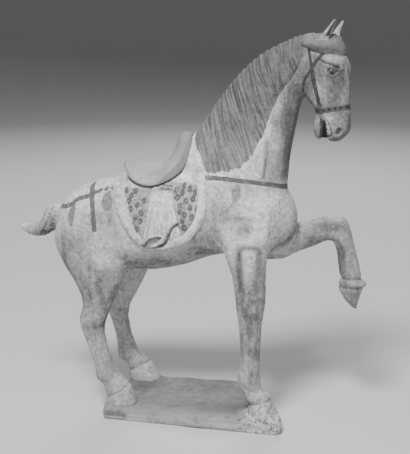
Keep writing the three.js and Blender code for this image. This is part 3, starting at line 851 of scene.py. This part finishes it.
CRACKS = (
    (bow([[88.5, 246], [86, 239], [88, 232], [84.6, 225], [86, 217], [83.6, 208]]), 0.45),
    (bow([[80.5, 231], [84, 225.5], [87.5, 219]]), 0.35), (bow([[91, 226], [89, 219], [90.5, 213]]), 0.35))
NECK_LINE = bow([[79.5, 320], [79, 305], [78, 290], [76.5, 277]])

# %% [markdown]
# The slip has worn grey in soft patches and stayed white in others. Some patches are painted shade instead:
# in front of the eye, behind the cheek, beside the sinews of the standing foreleg and, partly, at the front
# of the neck. On the raised hoof one face has painted shade and the other a painted highlight, and the brow
# has a painted highlight. Each has a middle, half a length, half a height, and how much it greys, below zero
# for white.

# %% Patches of wear, painted shade and painted highlights
WEAR_AND_SHADE = np.array([
    [92.2, 233.7, 9, 24, .6], [61.5, 221.8, 9, 8, .85], [54.1, 233.2, 13, 3.5, .7],
    [36.2, 239.2, 14, 10, .35], [-103.1, 226.4, 15, 9, .4], [-152.6, 203.4, 7, 20, .35],
    [-152, 170.6, 8, 26, .4], [-111.5, 143.5, 19, 28, .25], [-100.4, 188.9, 12, 4, .3],
    [8.5, 188.9, 18, 6, .45], [-40.9, 175.3, 36, 7, .3], [69.5, 120.9, 11, 6, .3], [66.6, 200.5, 16, 4, .75],
    [147.7, 216.2, 19, 7, .7], [116.2, 198.3, 32, 12, .35], [159.2, 177.8, 4.5, 20, .7],
    [-109.4, 94.1, 9, 10, .5], [-121.9, 93.7, 12, 4, .4], [-101.5, 177.3, 11, 7, -.35],
    [78, 215.8, 20, 26, -.4], [64.7, 171.1, 5.5, 18, -.15], [68.4, 250.7, 24, 12, -.25],
    [-138.4, 245.2, 30, 12, -.2], [149.8, 407.8, 8, 5, -.35], [153.6, 389.9, 4.5, 8, .8],
    [153.3, 376, 4, 10, .3], [144.7, 388.2, 3, 2.5, .6], [155, 387, 4, 9, 1.0], [134, 372, 9, 14, -.3],
    [141, 343, 9, 5, -.35], [122.3, 392.4, 6, 9, .6], [119.1, 378.2, 3.5, 7, .6], [144.7, 332.9, 3.5, 9, -.5],
    [146.8, 345.2, 6, 4, -.4], [102.9, 335.9, 10, 8, .5], [97.2, 307.2, 4, 30, .3], [-181.1, 214, 6, 10, .45],
    [-188.8, 195.2, 18, 4, .5], [69.4, 139.8, 3.5, 3, .3], [54.8, 172, 5.4, 26, .5], [76.3, 172, 5.6, 26, .5],
    [-40, 222, 60, 40, .12], [-130, 215, 30, 30, .2], [-146, 193, 14, 14, .4], [120, 205, 30, 22, .75],
    [166, 185, 16, 30, .7], [169, 132, 7, 14, -.15], [174.5, 132, 3.5, 9, .25], [162.5, 131, 4, 8, -.3],
    [66, 95, 20, 40, .4], [66, 150, 20, 24, .25], [84, 12, 22, 20, -.5], [-86, 10, 22, 14, -.15],
    [103, 335, 9, 50, .35], [-125, 165, 30, 60, .22], [10, 205, 22, 22, .4], [24, 238, 12, 22, .4],
    [-190, 205, 24, 20, .5], [-96, 222, 6, 16, .4], [-88, 208, 5, 8, .4]])

# %% [markdown]
# ### Guides
# A guide is a number kept at every corner, most of them millimetres inside a painted shape. The material
# turns that into an edge that stays crisp however wide the net is. Rings and the eye keep the way to their
# middle instead.

# %% Guides for tack, hair and cloth
def on_head(spots):
    return (spots[:, 0] > 112) & (spots[:, 2] > 318)


def tack_guides(spots):
    flat, drawn, head = side_view(spots), side_view(faced_ahead(spots)), on_head(spots)
    x = spots[:, 0]
    strap = 3.0 - away(flat, RUMP_STRAP)
    dashes = 1.2 * ease(x, -121, -112) * (0.8 + np.sin(0.85 * x + 1))
    strap = np.maximum(strap, 2.3 - dashes - away(flat, CRUPPER))
    strap = np.maximum(strap, np.where(x > 13.5, 2.6 - away(flat, BREAST_STRAP), -9))
    for line, half in BRIDLE:
        strap = np.maximum(strap, np.where(head, half - away(drawn, line), -9))
    leaf = np.max([-outside(flat, outline) for outline in LEAVES] + [0.9 - away(flat, TASSEL)], axis=0)
    knots = (1.7 - np.linalg.norm(drawn[:, None] - BUCKLES[None], axis=2)).max(1)
    return {"strap": strap, "leaf": leaf, "knot": np.clip(np.where(head, knots, -9), -9, 9)}


def hair_guide(spots, lock, swayed):
    """The lower ends of the locks are ragged."""
    x, y, z = spots.T
    tooth = (swayed + 0.15 * np.sin(2.1 * lock)) % 1
    tooth = np.minimum(tooth / 0.7, (1 - tooth) / 0.3)
    ragged = (0.7 + 1.9 * ease(-z, -325, -290)) * (0.5 + np.sin(1.7 * lock + 1) ** 2)
    on_neck = -outside(side_view(spots), hair_edge) - ragged * tooth + 0.6
    on_brow = inside_forelock(faced_ahead(spots))
    hair = np.maximum(np.where((z > 262) & (x > -20), on_neck, -50), np.where(x > 104, on_brow, -50))
    hair[(x > 90) & (x < 136) & (z > 420) & (np.abs(y) < 11)] = 9
    return hair


def cloth_guides(spots):
    flat = side_view(spots)
    edge, apron = outside(flat, CLOTH), outside(flat, APRON)
    top = 260 + 9 * ease(flat[:, 0], -50, -25)
    field = np.min([-edge - border_width(flat), apron, beyond_mane(spots) - 1, outside(flat, FLAP) - 0.5,
                    0.5 * (top - flat[:, 1])], axis=0)
    return {"field": field, "apron": apron, "cloth_edge": edge}


def way_guides(spots, fall, swayed):
    """The ways along each strand, to the nearest ring's middle and to the eye."""
    flat, facing = side_view(spots), faced_ahead(spots)
    forelock = spots[:, 0] > 122
    strands = np.where(forelock, away(side_view(facing), FORELOCK_EDGE) / 3.4, swayed)
    along = np.where(forelock, facing[:, 0] / 12, 2.2 * fall)
    gaps = flat[:, None] - RINGS[None]
    which = np.linalg.norm(gaps, axis=2).argmin(1)
    x, z = gaps[range(len(flat)), which].T
    eye = np.stack([facing[:, 0] - EYE[0], facing[:, 2] - EYE[1], np.where(on_head(spots), 0, 99)], 1)
    return {
        "strands": np.stack([strands, along, np.sign(spots[:, 1])], 1),
        "ring": np.stack([np.hypot(x, 0.8 * z), (which * 0.37) % 1, 0 * which], 1),
        "eye": np.where(np.abs(facing[:, 1:2]) > 9, eye, 99)}


# %% Guides for wear and drawn lines
def grey_guide(spots, facings):
    flat, (x, y, z) = side_view(spots), spots.T
    grey = sum(much * np.exp(-((x - ahead) / long) ** 2 - ((z - up) / high) ** 2)
               for ahead, up, long, high, much in WEAR_AND_SHADE)
    worn_side = np.where((x > 116) & (z < 240), 30, 4)  # beyond it the wear is weaker
    grey = grey * (0.5 + 0.5 * ease(worn_side - y, -6, 6))
    line = 76.5 + 0.08 * (z - 277) - 70 * ease(z, 316, 334)
    strip = 8 - 8 * ease(z, 322, 350)  # the white beside the mane ends halfway up
    # grey clay on the front of the neck, darkest towards its front edge: partly real, partly painted shade
    neck = ease(outside(flat, hair_edge) - strip, -2, 2) * ease(x, line - 0.6, line + 1.6)
    neck *= ease(z, 266, 276) * (x > 10) * (0.42 + 0.4 * ease(x, 88, 106) + 0.2 * ease(z, 310, 345))
    grey += neck + ridge(away(flat, NECK_LINE), 0.75, 1.7)
    grey -= 0.05 * ease(z, 322, 334) * (x > 116) + 0.25 * ((y > 0) & (z < 200) & (x < 0))
    # painted shade in the hollow of the cloth's turned-up corner
    grey += np.where(np.abs(y) > 20, 0.7 * ease(-outside(flat, HOLLOW), -0.5, 1.5), 0)
    # greyer low down, and painted shade on every surface that faces downwards
    grey += 0.3 * ease(-z, -205, -150) + 0.4 * ease(-facings[:, 2], 0.15, 0.95)
    return np.clip(grey, -0.5, 1.3)


def line_guide(spots):
    flat, facing, x = side_view(spots), faced_ahead(spots), spots[:, 0]
    gap = outside(side_view(facing), GAP)
    # inside the mouth's gap the face is painted dark, as shade
    lines = np.max([half - away(side_view(facing), line) for line, half in FACE_LINES] + [-gap], axis=0)
    creases = np.max([half - away(flat, line) for line, half in CREASES + CRACKS], axis=0)
    on_face = on_head(spots) & ((np.abs(facing[:, 1]) > 4) | (gap < 0))
    on_flank = (x < 100) & (x > -70) & (np.abs(spots[:, 1]) > 12)
    return np.clip(np.where(on_face, lines, np.where(on_flank, creases, -9)), -9, 9)


# %% [markdown]
# All pieces of the horse's own clay get all guides, so one material serves them. The ears have no hair, and
# the lining of the mouth is painted near-black all over, as the shade inside the mouth.

# %% Setting the guides
clay_pieces = (horse, mane, cloth, *ears, lining)
for piece in clay_pieces:
    spots = figure(corners_of(piece))
    lock, fall = on_mane(spots)
    swayed = comb(lock, fall)
    inside = {**tack_guides(spots), **cloth_guides(spots), "hair": hair_guide(spots, lock, swayed)}
    for name, values in inside.items():
        remember(piece, name, np.clip(values, -12, 12))
    for name, values in way_guides(spots, fall, swayed).items():
        remember(piece, name, values)
    remember(piece, "mane_edge", np.clip(beyond_mane(spots), -20, 40))
    remember(piece, "grey", grey_guide(spots, facings_of(piece)))
    remember(piece, "line", line_guide(spots))
for piece, name, value in (
        (ears[0], "hair", -9.0), (ears[0], "grey", 0.55), (ears[1], "hair", -9.0), (ears[1], "grey", 0.55),
        (lining, "cut", 0.0), (lining, "line", 9.0)):
    remember(piece, name, np.full(len(piece.data.vertices), value))
print("guides on the skin:", len(horse.data.attributes))

# %% [markdown]
# Mane and cloth are still open sheets. Now that their guides are set, they get walls that reach into the
# body.

# %% Walls for the raised pieces
for piece in (mane, cloth):
    finish(piece, "SOLIDIFY", thickness=1.8 * MM, offset=-1, use_rim=True)

# %% [markdown]
# ## Slip, paint and wear
# All colours here are greys from the same few earths, so each material first mixes one number, the tone,
# and only then tints it. A tone adds, subtracts and multiplies like any other number, and every sum becomes
# a node.

# %% Tones: numbers made of nodes
class Tone:
    def __init__(self, recipe, socket):
        self.recipe, self.socket = recipe, socket

    def sum(self, operation, *values):
        return self.recipe.read("Math", enumerate(values), operation=operation)

    def __add__(self, other):
        return self.sum("ADD", self, other)

    def __sub__(self, other):
        return self.sum("SUBTRACT", self, other)

    def __rsub__(self, other):
        return self.sum("SUBTRACT", other, self)

    def __mul__(self, other):
        return self.sum("MULTIPLY", self, other)

    def __abs__(self):
        return self.sum("ABSOLUTE", self)

    __radd__, __rmul__ = __add__, __mul__


def step(tone, low, high):
    """0 at low, 1 at high, and a soft step between."""
    return tone.recipe.read("MapRange", {"Value": tone, "From Min": low, "From Max": high},
                            interpolation_type="SMOOTHSTEP")


def over(tone, paint, amount):
    """Lays paint over tone where amount is 1."""
    return (paint - tone) * amount + tone


# %% [markdown]
# A recipe is one material. It puts in nodes, reads the guides, and makes clouds: soft mottling of a chosen
# size.

# %% Recipes: materials made of tones
class Recipe:
    def __init__(self, name):
        self.material = bpy.data.materials.new(name)
        self.material.use_nodes = True
        self.tree = self.material.node_tree
        self.clay = self.tree.nodes["Principled BSDF"]
        self.place = self.put("TexCoord").outputs["Object"]

    def join(self, value, socket):
        """Links a tone or an output to a socket, or sets a plain number on it."""
        value = value.socket if isinstance(value, Tone) else value
        if isinstance(value, bpy.types.NodeSocket):
            self.tree.links.new(value, socket)
        else:
            socket.default_value = value

    def put(self, kind, inputs=(), **settings):
        node = self.tree.nodes.new("ShaderNode" + kind)
        for name, value in settings.items():
            setattr(node, name, value)
        for name, value in dict(inputs).items():
            self.join(value, node.inputs[name])
        return node

    def read(self, kind, inputs=(), output=0, **settings):
        return Tone(self, self.put(kind, inputs, **settings).outputs[output])

    def guide(self, name):
        return self.read("Attribute", output="Fac", attribute_name=name)

    def way(self, name):
        """A guide of three numbers."""
        return self.put("Attribute", attribute_name=name).outputs["Vector"]

    def parts(self, way):
        """The three numbers of a place or a way."""
        return [Tone(self, part) for part in self.put("SeparateXYZ", {"Vector": way}).outputs]

    def cloud(self, millimetres, detail=3.0, stretch=(1, 1, 1), shift=0.0, rough=0.55, along=None):
        moved = self.put("Mapping", {
            "Vector": along or self.place, "Scale": stretch, "Location": (shift, shift, shift)}).outputs[0]
        return self.read("TexNoise", {"Vector": moved, "Scale": 1000 / millimetres, "Detail": detail,
                                      "Roughness": rough}, output="Fac")

    def fire(self, tone, height, roughness, depth=0.25):
        """Ends the recipe: tint, fine bumps so many millimetres high, and gloss."""
        tint = self.put("CombineColor", {"Red": tone, "Green": tone * 0.992, "Blue": tone * 0.978})
        bump = self.put("Bump", {"Height": height, "Distance": depth * MM, "Strength": 1.0})
        for name, value in (("Base Color", tint.outputs[0]), ("Normal", bump.outputs[0]),
                            ("Roughness", roughness), ("Specular IOR Level", 0.28)):
            self.join(value, self.clay.inputs[name])
        print(self.material.name, "has", len(self.tree.nodes), "nodes")
        return self.material


# %% [markdown]
# ### Worn white slip
# Where the slip is thick it is nearly white. It has rubbed thin in patches, more on the legs, so that grey
# clay shows through, and fine dark specks make it look buried and cleaned. The grey guide adds painted
# shade to this, in hollows and on undersides.

# %% The slip
SLIP, BARE = 0.65, 0.24  # tones of thick slip and of the clay below it
r = Recipe("painted_slip")
ahead, _, up = r.parts(r.place)
broad, patch = r.cloud(46, 5, rough=0.6), r.cloud(11, 5, shift=0.3, rough=0.62)
fine = r.cloud(2.6, 3, shift=0.7)
speck, streak = r.cloud(1.5, 2, shift=0.1), r.cloud(7, 4, (1, 1, 0.22), shift=0.5, rough=0.6)
on_cloth = step(r.guide("cloth_edge"), 0.4, -0.4)
wear_and_shade = step(broad, 0.4, 0.66) * 0.26 + step(patch, 0.46, 0.68) * 0.3
wear_and_shade = wear_and_shade + step(up, 0.215, 0.15) * (step(streak, 0.42, 0.66) * 0.22 + 0.17)  # the legs
wear_and_shade = wear_and_shade * (1 - on_cloth * 0.7)
# the grey guide: worn patches, together with painted shade in hollows and on undersides
ground = r.guide("grey") * (step(streak, 0.3, 0.66) * 0.35 + 0.75)
wear_and_shade = wear_and_shade + ground * (1 - on_cloth * 0.8)
clouded = (patch - 0.5) * 1.2 + (r.cloud(4.6, 5, shift=0.8, rough=0.7) - 0.5) * 1.8
grain = clouded + (fine - 0.5)
tone = over(SLIP, BARE, wear_and_shade.sum("MINIMUM", wear_and_shade, 1.25)) * (grain + 1)
tone = over(tone, 0.16, step(speck, 0.62, 0.68) * step(patch + wear_and_shade * 0.2, 0.46, 0.62) * 0.7)
fore_hoof = step(up, 0.05, 0.028) * step(ahead, 0.05, 0.07)
tone = over(tone, 0.11, fore_hoof * step(r.cloud(4.5, 4, shift=2.6, rough=0.7), 0.51, 0.6) * 0.7)
beside_mane = step(r.guide("mane_edge"), 7, -2) * (1 - on_cloth) * step(up, 0.385, 0.325)
tone = over(tone, (grain + 1) * 0.72, beside_mane * 0.7)

# %% [markdown]
# ### The cloth's paint
# Border and apron were whitened, and faint strokes run down the apron. The field is darker, with rings that
# the brush left thin in places.

# %% Cloth
on_field = step(r.guide("field") + (patch - 0.5) * 4, -0.4, 0.6) * on_cloth
rest = on_cloth * (1 - on_field)
whitened = over(0.52, 0.8, step(ahead, -0.07, -0.015))
tone = over(tone, (grain + 1) * whitened, rest * 0.75)
strokes = r.cloud(3.4, 3, (1, 1, 0.16), shift=1.7, rough=0.6)
tone = over(tone, 0.38, step(r.guide("apron"), 0.2, -0.6) * step(strokes, 0.5, 0.62) * 0.7)
blots = step(r.cloud(6.5, 5, shift=2.1, rough=0.7), 0.53, 0.66) * (step(ahead, -0.062, -0.078) * 0.4 + 0.42)
tone = over(tone, 0.36, rest * blots)
field_tone = over(0.26, 0.32, step(ahead, -0.06, -0.02))
tone = over(tone, (grain * 1.3 + 1) * field_tone, on_field * 0.85)
from_middle, each, _ = r.parts(r.way("ring"))
reach = from_middle + (fine - 0.5) * 2.4
ring = step(abs(reach - (each * 0.5 + 1.55)), 1.6, 0.8) * on_field
ring = ring * (step(r.cloud(5, 2, shift=0.9), 0.36, 0.5) * 0.4 + 0.6)
ring = ring.sum("MAXIMUM", ring, step(reach, 1.6, 1.0) * on_field * 0.35)
tone = over(tone, 0.08, ring * 0.9)

# %% [markdown]
# ### Tack and pendants
# The straps are nearly black where the brush was full, and rubbed elsewhere. The leaf-shaped pendants are a
# thin grey wash.

# %% Tack
BODY_TACK, BRIDLE_TACK, NOSEBAND, KNOT = 0.1, 0.042, 0.085, 0.025
hair = step(r.guide("hair"), -0.25, 0.35)
off = (1 - hair) * (1 - on_cloth)
rubbed = step(r.cloud(3.4, 4, shift=1.3, rough=0.6), 0.68, 0.52) * 0.35 + 0.65
faded = off * rubbed * (0.95 - step(ahead, -0.05, 0.04) * 0.25)
tone = over(tone, (grain * 0.7 + 1) * 0.19, step(r.guide("leaf"), -0.8, 0.5) * faded)
tack = step(r.guide("strap"), -0.3, 0.35) * rubbed * off
bridle = step(ahead, 0.1, 0.12)
tack_tone = over(over(BODY_TACK, BRIDLE_TACK, bridle), NOSEBAND, bridle * step(up, 0.375, 0.372))
tone = over(tone, tack_tone, tack * 0.95)
tone = over(tone, KNOT, step(r.guide("knot"), -0.3, 0.5) * tack * 0.85)

# %% [markdown]
# ### Hair, eye, dirt and painted shade
# The mane is dark with lighter strands along its locks. Then come the drawn lines, the pupil with its painted
# highlight, and last the dirt and painted shade in the cuts.

# %% Hair
streaks = r.cloud(1000, 3, (3.6, 0.75, 9), rough=0.6, along=r.way("strands"))
lights = step(streaks, 0.38, 0.6) * 0.15 + 0.1
lights = over(lights, 0.32, step(streaks, 0.58, 0.66) * step(patch, 0.46, 0.6) * 0.4)
lights = lights * (1.06 - step(up, 0.30, 0.40) * 0.5)
lights = over(lights, 0.215, step(ahead, 0.108, 0.122) * 0.72)
tone = over(tone, lights * (grain * 0.6 + 1), hair * 0.97)

# %% Lines, eye, dirt and painted shade
line, grooves = r.guide("line"), r.guide("cut")
tone = over(tone, 0.04, step(line, -0.35, 0.35) * (0.85 - on_cloth * 0.15))
# painted shade: the lining of the mouth is near black
tone = over(tone, 0.011, step(line, 5, 8))  # the lining of the mouth
long, tall, elsewhere = r.parts(r.way("eye"))
reach = long.sum("SQRT", long * long + tall * tall) + abs(elsewhere)
tone = over(tone, 0.05, step(reach, 3.3, 2.5) * 0.9)
# painted highlight: a glint in the pupil
glint = abs(long + 0.9) + abs(tall - 1.1) + abs(elsewhere)
tone = over(tone, 0.55, step(glint, 1.1, 0.5) * 0.7)
# dark in the cuts: dirt, with painted shade that is darkest in the deepest cuts
dirt_and_shade = step(grooves, 0.25, 1.4) * step(patch, 0.3, 0.5) * 0.5
tone = over(tone, 0.07, dirt_and_shade.sum("MAXIMUM", dirt_and_shade, step(grooves, 1.2, 2.3) * 0.85))
height = fine * 0.5 + patch * 0.9 - step(speck, 0.64, 0.7) * 0.25
painted_slip = r.fire(tone, height, patch * 0.25 + 0.72)

# %% [markdown]
# ### The saddle's grey paint
# The saddle has a smooth, darker coat. It is darkest on its raised ends and, as painted shade, along its
# lower edge.

# %% Saddle paint
r = Recipe("saddle_paint")
_, _, up = r.parts(r.place)
broad, patch, fine = r.cloud(30, 4), r.cloud(8, 4, shift=0.4, rough=0.6), r.cloud(1.6, 2, shift=0.2)
tone = over(0.46, 0.37, step(broad, 0.42, 0.64)) * ((patch + fine) * 0.75 + 0.25)
tone = over(tone, 0.24, step(up, 0.275, 0.33) * 0.85)
# painted shade along the lower edge and up the front of the pommel
tone = over(tone, 0.2, step(r.guide("edge_shade"), -0.8, 1.2) * 0.75)
tone = over(tone, 0.22, step(fine, 0.66, 0.72) * step(patch, 0.45, 0.6) * 0.5)
saddle_paint = r.fire(tone, fine * 0.4 + patch * 0.6, patch * 0.2 + 0.7, depth=0.2)

# %% [markdown]
# ### The slab's bare clay
# On top the slab is bare, with marks of the brush along it. Slip ran over its near edge and its near fore
# end.

# %% Slab clay
r = Recipe("slab_clay")
ahead, left, up = r.parts(r.place)
broad, patch = r.cloud(40, 5, rough=0.6), r.cloud(9, 5, shift=0.6, rough=0.65)
fine = r.cloud(1.8, 3, shift=0.3)
rim = step(up + (patch - 0.5) * 0.012, 0.0125, 0.0085) * step(left, -0.03, -0.045)
near_end = step(ahead, 0.045, 0.075) * step(left, -0.012, -0.035)
# painted shade in the dent at the near hind corner, where the slip is also left off
dent_shade = step(ahead, -0.074, -0.082) * step(ahead, -0.107, -0.101) * step(up, 0.004, 0.006) * rim
lip = step(left + (patch - 0.5) * 0.03, -0.03, -0.058) * (step(ahead, -0.06, 0.03) * 0.16 + 0.16)
slip = rim * (step(ahead, -0.04, 0.05) * 0.2 + 0.5)
slip = slip.sum("MAXIMUM", slip, near_end)
slip = slip.sum("MAXIMUM", slip, lip) * step(patch, 0.3, 0.5) * (1 - dent_shade)
brushed = r.cloud(5, 4, (0.12, 1, 1), shift=0.4, rough=0.6) * 0.45 + 0.77
tone = over(0.215, 0.16, step(broad, 0.42, 0.62)) * brushed
tone = over(tone, 0.1, r.guide("shade") * (1 - near_end))
tone = over(tone, 0.64, slip) * ((patch + fine) * 1.1 - 0.1)
tone = over(tone, 0.13, dent_shade * 0.5)
tone = over(tone, 0.09, step(fine, 0.52, 0.6) * step(patch, 0.4, 0.56) * (slip * 0.7 + 0.2))
tone = over(tone, 0.11, near_end * step(r.cloud(4.5, 4, shift=2.6, rough=0.7), 0.52, 0.6) * 0.7)
slab_clay = r.fire(tone, fine * 0.6 + patch, patch * 0.2 + 0.76, depth=0.35)

# %% Painting the pieces
paints = {saddle: saddle_paint, slab: slab_clay}
for piece in (*clay_pieces, saddle, slab):
    piece.data.materials.clear()
    piece.data.materials.append(paints.get(piece, painted_slip))

# %% [markdown]
# ## Floor, light and camera
# The pale floor is a disc whose edge is drawn out and up in a curve, and ends in a wall. It darkens
# outwards.

# %% The floor
FLOOR, CURVE, WALL = 2.6, 0.2, 1.6
bpy.ops.mesh.primitive_circle_add(vertices=96, radius=FLOOR, fill_type="NGON")
floor = bpy.context.object
floor.name = "floor"
bpy.context.tool_settings.mesh_select_mode = (False, True, False)
open_up("DESELECT")
bpy.ops.mesh.select_non_manifold()
for lean in np.radians(np.arange(10, 91, 10)):
    bpy.ops.mesh.extrude_edges_move(TRANSFORM_OT_translate={"value": (0, 0, CURVE * np.sin(lean))})
    wider = 1 + CURVE * np.cos(lean) / FLOOR
    bpy.ops.transform.resize(value=(wider, wider, 1), center_override=(0, 0, 0))
bpy.ops.mesh.extrude_edges_move(TRANSFORM_OT_translate={"value": (0, 0, WALL)})
close_up()
bpy.ops.object.shade_smooth()
sweep = Recipe("pale_floor")
reach = sweep.read("VectorMath", {0: sweep.place}, output="Value", operation="LENGTH")
tone = over(0.64, 0.3, step(reach, 1.3, 3.2))
pale = sweep.put("CombineColor", {"Red": tone, "Green": tone, "Blue": tone})
sweep.join(pale.outputs[0], sweep.clay.inputs["Base Color"])
sweep.join(0.9, sweep.clay.inputs["Roughness"])
floor.data.materials.append(sweep.material)

# %% [markdown]
# A soft lamp hangs high above the camera, a little to its left. A faint one fills the shadows from the
# right, and one behind the horse picks out its far edges. The world around is almost dark.

# %% Soft studio light
world = bpy.context.scene.world or bpy.data.worlds.new("studio")
bpy.context.scene.world = world
world.use_nodes = True
around = world.node_tree.nodes["Background"].inputs
around["Color"].default_value, around["Strength"].default_value = (1, 1, 1, 1), 0.1


def aim(name, data, place, target):
    """Puts a lamp or a camera in its place and turns it to its target."""
    made = bpy.data.objects.new(name, data)
    bpy.context.collection.objects.link(made)
    made.location = place
    made.rotation_euler = (Vector(target) - Vector(place)).to_track_quat("-Z", "Y").to_euler()
    return made


for name, place, height, size, power in (
        ("key", (-0.1, -1.15, 1.9), 0.25, 0.6, 61), ("fill", (1.4, -1.2, 0.7), 0.2, 1.2, 5),
        ("rear", (-0.3, 1.9, 1.7), 0.2, 1.4, 30)):
    lamp = bpy.data.lights.new(name, "AREA")
    lamp.shape, lamp.size, lamp.energy = "DISK", size, power
    aim(name, lamp, place, (0, 0, height))

# %% [markdown]
# The camera stands off the horse's right side, a little towards its head and a little above it.

# %% The camera
TARGET = Vector((0.0035, 0, 0.225))
TURNED = RAISED = np.radians(13.5)
AWAY = 1.2
LENS, SENSOR = 82, 36  # millimetres
way = Vector((np.sin(TURNED) * np.cos(RAISED), -np.cos(TURNED) * np.cos(RAISED), np.sin(RAISED)))
camera = bpy.data.cameras.new("camera")
camera.lens, camera.sensor_width = LENS, SENSOR
bpy.context.scene.camera = aim("camera", camera, TARGET + AWAY * way, TARGET)
print("the camera stands", AWAY, "m away, with a lens of", LENS, "mm")

# %% [markdown]
# ## What each piece is
# All pieces ride on the one body. Each hides the solid whose place it takes.

# %% Rides and solids
for piece, node, finish_slot in (
        *((piece, "horse", "horse") for piece in clay_pieces),
        (saddle, "saddle", "saddle"), (slab, "plinth", "plinth")):
    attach(piece, "root")
    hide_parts(node)
